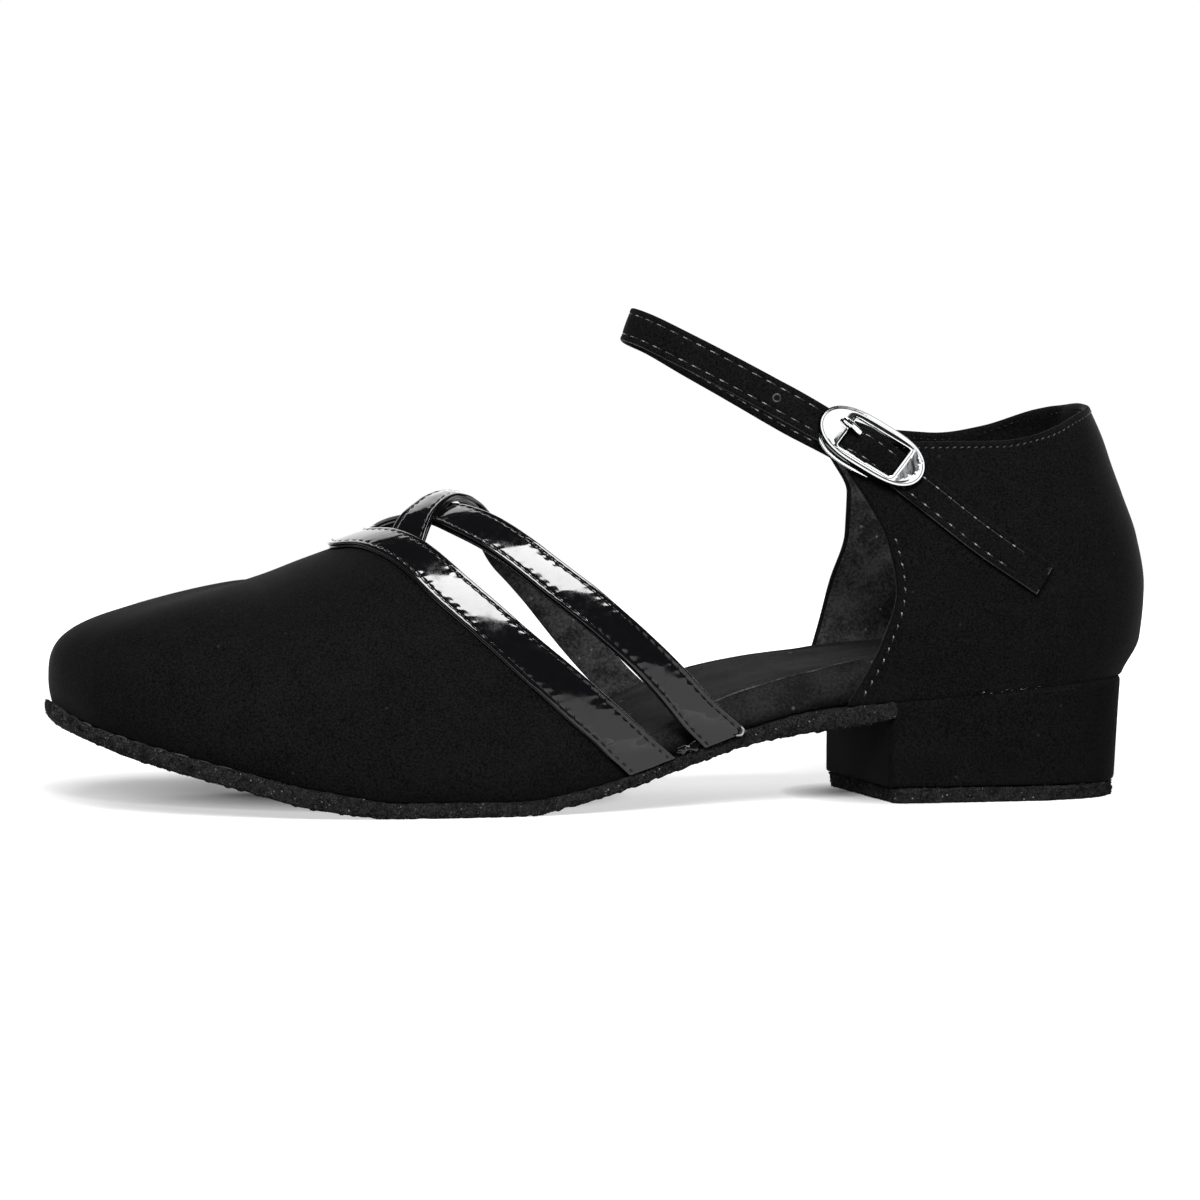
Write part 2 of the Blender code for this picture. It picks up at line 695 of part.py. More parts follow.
def round_curve(stations, values, at):
    # Curve through the route's points with free turns at its crests.
    slope = np.gradient(values, stations)
    index = np.clip(np.searchsorted(stations, at, side="right") - 1, 0, len(stations) - 2)
    step = stations[index + 1] - stations[index]
    share = (at - stations[index]) / step
    start = values[index] * (1 + 2 * share) * (1 - share) ** 2
    end = values[index + 1] * share * share * (3 - 2 * share)
    leave = slope[index] * step * share * (1 - share) ** 2
    arrive = slope[index + 1] * step * share * share * (share - 1)
    return start + end + leave + arrive


def ankle_frames(steps):
    # Middle points of the strap with its outward and width directions and its rise over the bar.
    distance, samples = ankle_samples(steps)
    points = samples[:, :3]
    runs = np.gradient(points, axis=0)
    frames = []
    for place, run, tilt, off in zip(points, runs, samples[:, 3], distance):
        run = Vector(run).normalized()
        width = Vector((math.sin(math.radians(tilt)), 0.0, math.cos(math.radians(tilt))))
        outward = run.cross(width).normalized()
        width = outward.cross(run).normalized()
        rise = 0.0
        past = (off - BAR_SHIFT) / BUCKLE_RISE_REACH
        if abs(past) < 1.0:
            rise = BUCKLE_RISE * math.cos(past * math.pi / 2) ** 2
        frames.append((Vector(place), outward, width, rise))
    return frames


def on_quarter(spot):
    # A point of the strap's middle layer laid against the outside of the quarter.
    start, full = HUG_STATIONS
    weight = min(max((spot.x - start) / (full - start), 0.0), 1.0)
    clear = quarter_half_width(spot.x, spot.z) + GAP + ANKLE_STRAP_THICK / 2
    hugged = math.copysign(clear, spot.y)
    return Vector((spot.x, spot.y + (hugged - spot.y) * weight, spot.z))


def buckle_axes():
    # Place and directions of the buckle: along the strap, across it and outward.
    distance, samples = ankle_samples(400)
    middle = int(np.argmin(np.abs(distance)))
    reach = int(FRAME_LENGTH / 2 / (distance[1] - distance[0]))
    place = on_quarter(Vector(samples[middle][:3]))
    along = on_quarter(Vector(samples[middle + reach][:3])) - on_quarter(Vector(samples[middle - reach][:3]))
    along.normalize()
    tilt = math.radians(samples[middle][3])
    width = Vector((math.sin(tilt), 0.0, math.cos(tilt))) * ANKLE_STRAP_WIDTH / 2
    lean = on_quarter(place + width) - on_quarter(place - width)
    outward = along.cross(lean).normalized()
    across = outward.cross(along).normalized()
    return place, along, across, outward


def buckle_matrix():
    # Buckle frame: local x along the strap, y across it, z outward from the ankle.
    place, along, across, outward = buckle_axes()
    turn = Matrix((along, across, outward)).transposed().to_4x4()
    return Matrix.Translation(to_world(place)) @ turn


def build_ankle_strap(collection, cutters):
    half = ANKLE_STRAP_WIDTH / 2
    grid = []
    for place, outward, width, rise in ankle_frames(96):
        lanes = [on_quarter(place + width * half * lane) for lane in (-1.0, -0.5, 0.0, 0.5, 1.0)]
        grid.append([spot + outward * rise for spot in lanes])
    piece = add_object("ankle_strap", mesh_of_grids("ankle_strap", [grid]), "nubuck_black", collection)
    solidify(piece, ANKLE_STRAP_THICK, 0.0)
    bpy.ops.mesh.primitive_cylinder_add(vertices=16, radius=HOLE_RADIUS * MM, depth=HOLE_DEPTH * MM)
    hole = bpy.context.object
    hole.name = "prong_hole"
    hole.matrix_world = buckle_matrix() @ Matrix.Translation(Vector(PRONG_ROWS[PRONG_HOLE_ROW]) * MM)
    move_to(hole, cutters)
    as_cutter(hole)
    boolean(piece, hole, "DIFFERENCE")
    return piece


def move_to(piece, collection):
    for other in list(piece.users_collection):
        other.objects.unlink(piece)
    collection.objects.link(piece)


def rounded_outline(curve, length, width, radius, shift, corner_steps):
    # Closed outline with round corners, added to a flat curve.
    points = []
    for corner in range(4):
        x_side = (1, -1, -1, 1)[corner]
        y_side = (1, 1, -1, -1)[corner]
        for k in range(corner_steps + 1):
            angle = (corner + k / corner_steps) * math.pi / 2
            x = shift + x_side * (length / 2 - radius) + radius * math.cos(angle)
            y = y_side * (width / 2 - radius) + radius * math.sin(angle)
            points.append((x, y))
    spline = curve.splines.new("POLY")
    spline.points.add(len(points) - 1)
    for spot, (x, y) in zip(spline.points, points):
        spot.co = (x * MM, y * MM, 0.0, 1.0)
    spline.use_cyclic_u = True


FRAME_LEVEL = ANKLE_STRAP_THICK / 2 + GAP + FRAME_THICK / 2
BAR_LEVEL = BUCKLE_RISE - ANKLE_STRAP_THICK / 2 - GAP - BAR_RADIUS


def build_buckle_frame(collection, cutters):
    curve = bpy.data.curves.new("buckle_plate", "CURVE")
    curve.dimensions = "2D"
    curve.fill_mode = "BOTH"
    curve.extrude = FRAME_THICK / 2 * MM
    rounded_outline(curve, FRAME_LENGTH, FRAME_WIDTH, FRAME_WIDTH / 2 - 0.2, 0.0, 8)
    rounded_outline(curve, WINDOW_LENGTH, WINDOW_WIDTH, 0.6, WINDOW_SHIFT, 2)
    plate = bpy.data.objects.new("buckle_plate", curve)
    cutters.objects.link(plate)
    bpy.context.view_layer.update()
    frame = add_object("buckle_frame", evaluated_mesh(plate), "chrome", collection)
    bpy.data.objects.remove(plate)
    frame.matrix_world = buckle_matrix() @ Matrix.Translation((0.0, 0.0, FRAME_LEVEL * MM))
    bar_length = (FRAME_WIDTH + WINDOW_WIDTH) / 2
    bpy.ops.mesh.primitive_cylinder_add(vertices=12, radius=BAR_RADIUS * MM, depth=bar_length * MM)
    bar = bpy.context.object
    bar.name = "buckle_bar"
    turn = Matrix.Rotation(math.pi / 2, 4, "X")
    spot = Vector((BAR_SHIFT, 0.0, BAR_LEVEL)) * MM
    bar.matrix_world = buckle_matrix() @ Matrix.Translation(spot) @ turn
    move_to(bar, cutters)
    as_cutter(bar)
    boolean(frame, bar, "UNION")
    return frame


def build_prong(collection):
    curve = bpy.data.curves.new("buckle_prong", "CURVE")
    curve.dimensions = "3D"
    curve.bevel_depth = PRONG_RADIUS * MM
    curve.bevel_resolution = 2
    curve.use_fill_caps = True
    spline = curve.splines.new("POLY")
    spline.points.add(len(PRONG_ROWS) - 1)
    for spot, point in zip(spline.points, PRONG_ROWS):
        spot.co = (point[0] * MM, point[1] * MM, point[2] * MM, 1.0)
    curve.materials.append(finish("chrome"))
    prong = bpy.data.objects.new("buckle_prong", curve)
    prong.matrix_world = buckle_matrix()
    collection.objects.link(prong)
    return prong


def main():
    for old in list(bpy.data.objects):
        bpy.data.objects.remove(old, do_unlink=True)
    parts = bpy.data.collections.new("dance_shoe")
    cutters = bpy.data.collections.new("cutters")
    bpy.context.scene.collection.children.link(parts)
    bpy.context.scene.collection.children.link(cutters)
    root = bpy.data.objects.new("dance_shoe", None)
    parts.objects.link(root)
    pieces = [
        build_outsole(parts),
        build_heel(parts),
        build_top_piece(parts),
        build_insole(parts),
        build_vamp(parts),
        build_patent_straps(parts, cutters),
        build_quarter(parts),
        build_ankle_strap(parts, cutters),
        build_buckle_frame(parts, cutters),
        build_prong(parts),
    ]
    for piece in pieces:
        piece.parent = root


main()
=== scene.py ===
import math

import bmesh
import bpy
import numpy as np
from mathutils import Matrix, Vector


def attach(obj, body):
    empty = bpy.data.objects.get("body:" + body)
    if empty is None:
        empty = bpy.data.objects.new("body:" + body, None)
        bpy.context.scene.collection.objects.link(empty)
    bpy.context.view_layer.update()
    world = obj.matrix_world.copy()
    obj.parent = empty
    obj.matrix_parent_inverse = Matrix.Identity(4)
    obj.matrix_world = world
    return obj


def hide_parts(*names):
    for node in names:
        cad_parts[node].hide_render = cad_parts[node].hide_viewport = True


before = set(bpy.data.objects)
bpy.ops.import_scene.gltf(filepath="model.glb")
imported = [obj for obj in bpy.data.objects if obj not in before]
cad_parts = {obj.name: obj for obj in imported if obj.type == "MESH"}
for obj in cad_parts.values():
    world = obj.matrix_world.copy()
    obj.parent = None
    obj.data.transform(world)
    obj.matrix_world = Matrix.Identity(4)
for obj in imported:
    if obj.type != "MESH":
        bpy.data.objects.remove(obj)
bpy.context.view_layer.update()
print("frame loaded:", len(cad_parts), "nodes")

# Tables and curves. Stations run in millimetres from the toe tip; toMetres puts them into the frame.
shoe = {
    "length": 248.8, "gap": 0.3, "rest": -0.1, "pivot": 45.0, "belly": 6.5, "bellyInset": 0.4,
    "sideShare": 0.9, "toeDroop": 0.12, "toeRound": 3.0, "soleEnd": 184.0,
}


def toMetres(points):
    moved = np.array(points, float)
    moved[..., 0] -= shoe["length"] / 2
    return moved * 0.001


def monotoneCurve(stations, values):
    stations, values = np.asarray(stations, float), np.asarray(values, float)
    step = np.diff(stations)
    rise = np.diff(values) / step
    slope = np.zeros(len(values))
    for i in range(1, len(values) - 1):
        if rise[i - 1] * rise[i] > 0:
            before, after = 2 * step[i] + step[i - 1], step[i] + 2 * step[i - 1]
            slope[i] = (before + after) / (before / rise[i - 1] + after / rise[i])
    slope[0], slope[-1] = rise[0], rise[-1]
    return hermiteCurve(stations, values, slope)


def hermiteCurve(stations, values, slope):
    def at(x):
        x = np.clip(x, stations[0], stations[-1])
        k = np.clip(np.searchsorted(stations, x, side="right") - 1, 0, len(stations) - 2)
        h = stations[k + 1] - stations[k]
        t = (x - stations[k]) / h
        start = values[k] * (1 + 2 * t) * (1 - t) ** 2 + slope[k] * h * t * (1 - t) ** 2
        return start + values[k + 1] * t * t * (3 - 2 * t) + slope[k + 1] * h * t * t * (t - 1)
    return at


def tableCurves(columns, rows, keyOf=None):
    # one curve for each named column, read by the first one
    table = np.array(rows, float)
    keys = table[:, 0] if keyOf is None else keyOf(table[:, 0])
    curves = {}
    for place, name in enumerate(columns):
        if place:
            curve = monotoneCurve(keys, table[:, place])
            curves[name] = curve if keyOf is None else (lambda x, c=curve: c(keyOf(x)))
    return curves


def rootOf(x):
    return np.sqrt(np.maximum(x, 0.0))


sole = tableCurves(("x", "lateral", "medial", "under", "thick", "flange"), (
    (0.0, 5.0, 5.0, 22.2, 0.4, 2.0), (0.09, 2.8, 7.2, 21.7, 1.5, 2.0), (0.3, 1.2, 8.4, 21.1, 2.5, 2.0),
    (0.9, -1.8, 10.8, 20.4, 3.2, 2.0), (2.5, -7.0, 15.2, 18.8, 3.1, 2.2),
    (7.0, -17.0, 24.0, 15.9, 3.3, 2.6), (14.0, -25.0, 30.0, 12.8, 3.9, 3.0),
    (24.0, -32.0, 34.5, 9.7, 4.0, 3.0), (36.0, -37.0, 38.2, 6.3, 4.0, 3.0),
    (52.0, -41.0, 41.6, 2.0, 4.2, 3.0), (70.0, -42.8, 43.0, 0.0, 3.3, 2.9),
    (84.0, -43.0, 42.4, 0.0, 3.2, 2.7), (96.0, -42.4, 40.6, 0.0, 3.1, 2.5),
    (108.0, -41.0, 37.6, 2.0, 2.9, 2.2), (120.0, -38.8, 34.5, 5.1, 2.7, 1.8),
    (135.0, -35.4, 31.2, 9.7, 2.9, 1.3), (150.0, -31.9, 29.0, 13.9, 3.4, 1.0),
    (165.0, -29.4, 28.0, 16.2, 4.5, 1.0), (175.0, -28.5, 27.7, 17.2, 4.5, 1.0),
    (184.0, -28.0, 27.6, 18.9, 3.5, 1.0),
), rootOf)
ridge = tableCurves(("x", "crest", "shift", "round"), (
    (45.0, 49.6, 3.0, 2.4), (50.0, 51.3, 2.6, 2.35), (57.0, 54.1, 2.0, 2.25),
    (70.0, 58.8, 1.0, 2.1), (82.0, 62.2, 0.3, 1.95), (96.0, 65.6, 0.0, 1.85),
    (112.0, 69.2, 0.0, 1.8), (128.0, 73.5, 0.0, 1.8), (150.0, 82.0, 0.0, 1.8),
))
seat = tableCurves(("x", "height"), (
    (150.0, 17.3), (165.0, 20.7), (184.0, 22.4), (214.0, 24.8), (250.0, 27.6),
))["height"]


def soleTop(x):
    return sole["under"](x) + sole["thick"](x)


def insetOutline(side, share, extra=0.0):
    # sole edge of one side, moved inwards
    root = np.linspace(0.0, math.sqrt(shoe["soleEnd"]), 700)
    x = root * root
    y = sole[side](x)
    turn = 1.0 if side == "medial" else -1.0
    alongX, alongY = np.gradient(x, root), np.gradient(y, root)
    length = np.hypot(alongX, alongY)
    inset = share * sole["flange"](x) + extra
    return x + turn * alongY / length * inset, y - turn * alongX / length * inset


widest = {side: insetOutline(side, shoe["bellyInset"]) for side in ("lateral", "medial")}
feather = {side: insetOutline(side, 1.0) for side in ("lateral", "medial")}


def edgeY(outline, x):
    return np.interp(x, outline[0], outline[1])


def sectionPoints(top, wide, low, roundness, droop, share):
    # one section of the last, from the ridge over the widest level to the feather edge
    side = shoe["sideShare"]
    angle = np.clip(share / side, 0.0, 1.0) * math.pi / 2
    out = np.sin(angle) ** (2.0 / roundness)
    up = np.maximum(np.cos(angle), 0.0) ** (2.0 / roundness)
    plan = top + (wide - top) * out[..., None]
    reach = np.hypot(wide[..., 0] - top[..., 0], wide[..., 1] - top[..., 1]) * out
    plan[..., 2] = wide[..., 2] + (top[..., 2] - droop * reach * (2.0 - out) - wide[..., 2]) * up
    tuck = np.clip((share - side) / (1.0 - side), 0.0, None)
    under = wide + (low - wide) * (tuck * tuck)[..., None]
    under[..., 2] = wide[..., 2] + (low[..., 2] - wide[..., 2]) * tuck
    return np.where((share > side)[..., None], under, plan)


def lastPoint(x, girth):
    # the last behind the pivot; girth runs from -1 lateral over 0 ridge to 1 medial
    x, girth = np.broadcast_arrays(np.asarray(x, float), np.asarray(girth, float))
    medial = girth > 0
    base = soleTop(x) + shoe["rest"]
    wideY = np.where(medial, edgeY(widest["medial"], x), edgeY(widest["lateral"], x))
    lowY = np.where(medial, edgeY(feather["medial"], x), edgeY(feather["lateral"], x))
    top = np.stack([x, ridge["shift"](x), ridge["crest"](x)], -1)
    wide = np.stack([x, wideY, base + shoe["belly"]], -1)
    low = np.stack([x, lowY, base], -1)
    return sectionPoints(top, wide, low, ridge["round"](x), 0.0 * x, np.abs(girth))


def unit(vectors):
    return vectors / np.maximum(np.linalg.norm(vectors, axis=-1, keepdims=True), 1e-12)


def runOf(points):
    # running length along a line of points
    return np.concatenate([[0.0], np.cumsum(np.linalg.norm(np.diff(points, axis=0), axis=1))])


def readAlong(at, run, rows):
    # every column of a table, read at places along its run
    return np.stack([np.interp(at, run, rows[:, k]) for k in range(rows.shape[1])], -1)


def lastNormal(x, girth, step=0.01):
    along = lastPoint(x + step, girth) - lastPoint(x - step, girth)
    around = lastPoint(x, girth + step) - lastPoint(x, girth - step)
    return unit(np.cross(along, around))


def ripple(points, wavelength, seed, waves=7):
    # smooth repeatable unevenness, about -1 to 1
    draw = np.random.default_rng(seed)
    total = 0.0
    for _ in range(waves):
        direction = unit(draw.normal(size=3))
        length = wavelength * draw.uniform(0.6, 1.6)
        total = total + np.sin(points @ direction * (2 * math.pi / length) + draw.uniform(0, 2 * math.pi))
    return total / math.sqrt(waves)


# Node groups shared by the finishes
def connect(tree, socket, value):
    # a socket takes a value, or a link from another node's output
    if isinstance(value, bpy.types.NodeSocket):
        tree.links.new(value, socket)
    else:
        socket.default_value = value


def addNode(tree, kind, settings=(), **inputs):
    node = tree.nodes.new("ShaderNode" + kind)
    for label, value in settings:
        setattr(node, label, value)
    for label, value in inputs.items():
        connect(tree, node.inputs[label], value)
    return node


def mathNode(tree, operation, first, second):
    node = addNode(tree, "Math", [("operation", operation)])
    connect(tree, node.inputs[0], first)
    connect(tree, node.inputs[1], second)
    return node.outputs[0]


def noiseNode(tree, scale, detail, roughness=0.55, stretch=None):
    spot = addNode(tree, "TexCoord").outputs["Object"]
    if stretch:
        spot = addNode(tree, "Mapping", Scale=stretch, Vector=spot).outputs["Vector"]
    noise = addNode(tree, "TexNoise", Detail=detail, Roughness=roughness, Vector=spot, Scale=scale)
    return noise.outputs["Fac"]


def newGroup(name, inputs, outputs):
    group = bpy.data.node_groups.new(name, "ShaderNodeTree")
    for label, value in inputs:
        socket = group.interface.new_socket(name=label, in_out="INPUT", socket_type="NodeSocketFloat")
        socket.default_value = value
    for label in outputs:
        group.interface.new_socket(name=label, in_out="OUTPUT", socket_type="NodeSocketFloat")
    return group, group.nodes.new("NodeGroupInput").outputs, group.nodes.new("NodeGroupOutput").inputs


def napGrainGroup():
    # short nap: fine grain, cloudy shading and a height
    inputs = (("Grain", 2600.0), ("Cloud", 120.0), ("Blotch", 0.45))
    group, given, result = newGroup("napGrain", inputs, ("Shade", "Height"))
    grain = noiseNode(group, given["Grain"], 6.0, 0.7)
    cloud = noiseNode(group, given["Cloud"], 3.0)
    blotch = mathNode(group, "MULTIPLY", mathNode(group, "SUBTRACT", cloud, grain), given["Blotch"])
    connect(group, result["Shade"], mathNode(group, "ADD", grain, blotch))
    connect(group, result["Height"], grain)
    return group


def fleckGroup():
    # sparse small flecks of dust and loose fibre
    group, given, result = newGroup("fleck", (("Scale", 900.0), ("Share", 0.02)), ("Mask",))
    spot = addNode(group, "TexCoord").outputs["Object"]
    cells = addNode(group, "TexVoronoi", Vector=spot, Scale=given["Scale"])
    level = addNode(group, "SeparateColor", Color=cells.outputs["Color"]).outputs[0]
    chosen = mathNode(group, "LESS_THAN", level, given["Share"])
    near = mathNode(group, "LESS_THAN", cells.outputs["Distance"], 0.32)
    connect(group, result["Mask"], mathNode(group, "MULTIPLY", chosen, near))
    return group


def glossFlowGroup():
    # slow unevenness and smears of a glossy coat
    group, given, result = newGroup("glossFlow", (("Flow", 160.0), ("Smear", 500.0)), ("Height", "Smudge"))
    connect(group, result["Height"], noiseNode(group, given["Flow"], 2.0, 0.45))
    connect(group, result["Smudge"], noiseNode(group, given["Smear"], 4.0, 0.6))
    return group


napGrain, fleck, glossFlow = napGrainGroup(), fleckGroup(), glossFlowGroup()


def newFinish(name, **constants):
    finish = bpy.data.materials.new(name)
    finish.use_nodes = True
    shader = finish.node_tree.nodes["Principled BSDF"]
    for label, value in constants.items():
        shader.inputs[label.replace("_", " ")].default_value = value
    return finish, finish.node_tree, shader


def place(tree, group, **values):
    return addNode(tree, "Group", [("node_tree", group)], **values).outputs


def ramp(tree, factor, stops):
    # colours or greys along a factor
    node = addNode(tree, "ValToRGB", Fac=factor)
    elements = node.color_ramp.elements
    while len(elements) < len(stops):
        elements.new(0.5)
    for element, (at, colour) in zip(elements, stops):
        element.position = at
        element.color = (*colour, 1.0) if isinstance(colour, tuple) else (colour, colour, colour, 1.0)
    return node.outputs["Color"]


def bump(tree, shader, height, strength, depth):
    # relief of a height, its depth in millimetres
    relief = addNode(tree, "Bump", Strength=strength, Distance=depth * 0.001, Height=height)
    tree.links.new(relief.outputs["Normal"], shader.inputs["Normal"])


def tint(colour):
    # a plain grey, or a grey with a blue of its own
    return (colour[0], colour[0], colour[1]) if isinstance(colour, tuple) else (colour,) * 3


def napFinish(name, dark, light, dust, dustShare, dustScale, grain, cloud, depth, roughness, specular,
              low=0.3, high=0.7, blotch=0.45, sheen=0.0):
    # nubuck, suede, lining and thread differ only in their values
    finish, tree, shader = newFinish(name, Roughness=roughness, Specular_IOR_Level=specular,
                                     Sheen_Weight=sheen, Sheen_Roughness=0.4)
    nap = place(tree, napGrain, Grain=grain, Cloud=cloud, Blotch=blotch)
    plain = ramp(tree, nap["Shade"], ((low, tint(dark)), (high, tint(light))))
    mask = place(tree, fleck, Scale=dustScale, Share=dustShare)["Mask"]
    dusty = addNode(tree, "Mix", [("data_type", "RGBA")], Factor=mask, A=plain, B=(*tint(dust), 1.0))
    tree.links.new(dusty.outputs["Result"], shader.inputs["Base Color"])
    bump(tree, shader, nap["Height"], 0.6, depth)
    return finish


def glossFinish(name, base, roughness, smear, flow, depth, metallic=0.0):
    finish, tree, shader = newFinish(name, Metallic=metallic, Base_Color=(*base, 1.0))
    coat = place(tree, glossFlow, Flow=flow, Smear=smear)
    rough = ramp(tree, coat["Smudge"], ((0.35, roughness[0]), (0.75, roughness[1])))
    tree.links.new(rough, shader.inputs["Roughness"])
    bump(tree, shader, coat["Height"], 0.5, depth)
    return finish


def brushedFinish(name):
    finish, tree, shader = newFinish(name, Metallic=1.0, Roughness=0.34)
    lines = noiseNode(tree, 1100.0, 5.0, 0.75, (1.0, 1.0, 0.12))
    colour = ramp(tree, lines, ((0.4, (0.03, 0.031, 0.033)), (0.62, (0.44, 0.45, 0.46))))
    tree.links.new(colour, shader.inputs["Base Color"])
    bump(tree, shader, lines, 0.4, 0.03)
    return finish


# Naps: share and scale of the dust, grain, cloud, depth, roughness, specular, ends of the ramp, blotch
nubuckNap = (0.004, 900, 2400, 140, 0.06, 0.92, 0.03, 0.4, 0.6, 0.1)
threadNap = (0.02, 1500, 2600, 600, 0.03, 0.5, 0.3, 0.4, 0.62)
# name, dark, light and dust colour, nap, sheen
napRows = {
    "nubuck": ("nubuckBlack", 0.0012, (0.0068, 0.0071), 0.012, *nubuckNap, 0.035),
    # a darker copy of the nubuck without sheen: painted shade for the heel, also used on one band of the
    # quarter's rim
    "nubuckHeel": ("nubuckHeel", 0.0012, (0.0062, 0.0065), 0.012, *nubuckNap),
    # pale edge grey: painted highlight on the ankle strap's lower edge and end, and along the sole's top edge
    "edge": ("edgeGrey", 0.012, (0.085, 0.087), 0.12, 0.02, 1500, 2600, 150, 0.03, 0.6, 0.2, 0.44, 0.66, 0.8),
    "lining": ("liningCharcoal", (0.0085, 0.009), (0.04, 0.041), 0.09,
               0.02, 1100, 1500, 160, 0.12, 0.92, 0.05, 0.42, 0.59, 0.4),
    "insole": ("insoleSuede", (0.005, 0.0053), (0.0165, 0.017), 0.06,
               0.012, 700, 1600, 120, 0.14, 0.92, 0.06, 0.42, 0.59, 0.35),
    "insoleWorn": ("insoleWorn", (0.008, 0.0085), (0.07, 0.072), 0.12,
                   0.03, 1500, 1600, 260, 0.14, 0.92, 0.06, 0.4, 0.64, 0.6),
    "sole": ("soleSuede", (0.002, 0.0022), (0.024, 0.025), (0.14, 0.145),
             0.03, 1900, 1900, 420, 0.3, 0.95, 0.05, 0.4, 0.68, 0.25),
    # black thread painted lighter grey, standing in for its sheen
    "thread": ("threadGrey", 0.006, 0.07, 0.14, *threadNap),
    "fuzz": ("soleFuzz", 0.004, (0.19, 0.195), 0.32, 0.05, 1500, 1900, 500, 0.03, 0.95, 0.05, 0.42, 0.72),
    # pale thread: painted glints on the black thread, on a patent fold and on loose seat thread
    "paintedGlint": ("threadPale", 0.02, 0.34, 0.4, *threadNap),
    # black thread painted a darker grey, standing in for its sheen
    "threadMid": ("threadGreyDark", 0.004, 0.034, 0.06, *threadNap),
    "threadDark": ("threadBlack", 0.004, 0.014, 0.03, 0.02, 1500, 5200, 900, 0.03, 0.5, 0.3),
}
finishes = {look: napFinish(*row) for look, row in napRows.items()}
finishes["patent"] = glossFinish("patentBlack", (0.0025, 0.0025, 0.003), (0.03, 0.2), 380, 230, 0.06)
finishes["chrome"] = glossFinish("chromeBuckle", (0.86, 0.87, 0.88), (0.03, 0.1), 900, 300, 0.01, 1.0)
# dark chrome: painted dark reflections on the buckle frame and painted shade on the prong's back
finishes["chromeDark"] = glossFinish("chromeShade", (0.012, 0.012, 0.013), (0.2, 0.3), 900, 300, 0.01, 1.0)
finishes["brushed"] = brushedFinish("brushedPlate")
print("finishes made:", len(finishes))


# Mesh helpers
def addObject(name, data):
    item = bpy.data.objects.new(name, data)
    bpy.context.scene.collection.objects.link(item)
    return item


def addPiece(name, verts, faces, looks, faceLooks=None, sharp=None):
    mesh = bpy.data.meshes.new(name)
    mesh.from_pydata(toMetres(np.asarray(verts).reshape(-1, 3)).tolist(), [], faces)
    for look in looks:
        mesh.materials.append(finishes[look])
    if faceLooks is not None:
        mesh.polygons.foreach_set("material_index", np.asarray(faceLooks, np.int32))
    mesh.shade_smooth()
    if sharp:
        mesh.set_sharp_from_angle(angle=math.radians(sharp))
    mesh.validate()
    return addObject(name, mesh)


def dress(piece, node):
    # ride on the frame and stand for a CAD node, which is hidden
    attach(piece, "root")
    if node:
        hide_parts(node)
    return piece


def gridFaces(rows, columns, wrap=False, start=0, flip=False):
    index = np.arange(rows * columns).reshape(rows, columns) + start
    after = np.roll(index, -1, 1) if wrap else index[:, 1:]
    here = index if wrap else index[:, :-1]
    quads = np.stack([here[:-1], after[:-1], after[1:], here[1:]], -1).reshape(-1, 4)
    return (quads[:, ::-1] if flip else quads).tolist()


def loftFaces(rows, columns, start=0):
    # rings joined into a closed tube with both ends capped
    faces = gridFaces(rows, columns, True, start)
    faces.append(list(range(start, start + columns))[::-1])
    faces.append(list(range(start + (rows - 1) * columns, start + rows * columns)))
    return faces


def outwards(piece):
    # every face of a closed mesh turned outwards
    build = bmesh.new()
    build.from_mesh(piece.data)
    bmesh.ops.recalc_face_normals(build, faces=build.faces)
    build.to_mesh(piece.data)
    build.free()
    return piece


def loft(name, verts, looks, faceLooks=None, sharp=None):
    # a closed tube from rings of points, its faces turned outwards
    return outwards(addPiece(name, verts, loftFaces(*verts.shape[:2]), looks, faceLooks, sharp))


def circle(count):
    return np.arange(count) / count * 2 * math.pi


def roundRings(spine, side, up, radii, count):
    # a ring of points round each point of a spine, in the plane of two directions
    angle = circle(count)[:, None]
    ring = side[..., None, :] * np.cos(angle) + up[..., None, :] * np.sin(angle)
    return spine[..., None, :] + ring * radii[..., None]


def evenLoop(points, steps):
    # a closed loop in even steps of length
    points = np.concatenate([points, points[:1]])
    run = runOf(points)
    return readAlong(np.linspace(0.0, run[-1], steps + 1)[:-1], run, points)


def gridNormals(grid):
    return unit(np.cross(np.gradient(grid, axis=0), np.gradient(grid, axis=1)))


def smoothStep(x, low, high):
    t = np.clip((np.asarray(x, float) - low) / (high - low), 0.0, 1.0)
    return t * t * (3 - 2 * t)


def smoothRoute(rows, steps):
    # even steps along a curve through points; any further columns follow its run
    rows = np.asarray(rows, float)
    run = runOf(rows[:, :3])
    at = np.linspace(0, run[-1], steps)
    return np.stack([hermiteCurve(run, column, np.gradient(column, run))(at) for column in rows.T], -1)


def bell(x, middle, spread):
    return np.exp(-((np.asarray(x, float) - middle) / spread) ** 2)


def stitchWave(run, pitch):
    # 1 at each stitch and 0 between two
    return 0.5 + 0.5 * np.cos(2 * math.pi * run / pitch)


def unevenness(points, waves):
    # ripples added up: weight, wavelength and seed of each
    return sum(weight * ripple(points, wavelength, seed) for weight, wavelength, seed in waves)


def fibres(name, roots, directions, look, lengths, seed, width=0.06):
    # tufts of loose suede fibre as thin three-sided spikes
    draw = np.random.default_rng(seed)
    count = len(roots)
    lean = unit(directions + draw.normal(scale=0.55, size=(count, 3)))
    side = unit(np.cross(lean, draw.normal(size=(count, 3))))
    long = draw.uniform(*lengths, count)[:, None]
    wide = width * draw.uniform(0.6, 1.3, count)[:, None]
    third = np.cross(lean, side) * wide * 0.87
    back = roots - side * wide * 0.5
    verts = np.stack([roots + side * wide, back + third, back - third, roots + lean * long], 1)
    first = np.arange(count)[:, None] * 4
    faces = np.concatenate([first + np.array(f) for f in ((0, 1, 3), (1, 2, 3), (2, 0, 3), (2, 1, 0))])
    return dress(addPiece(name, verts, faces.tolist(), [look]), None)


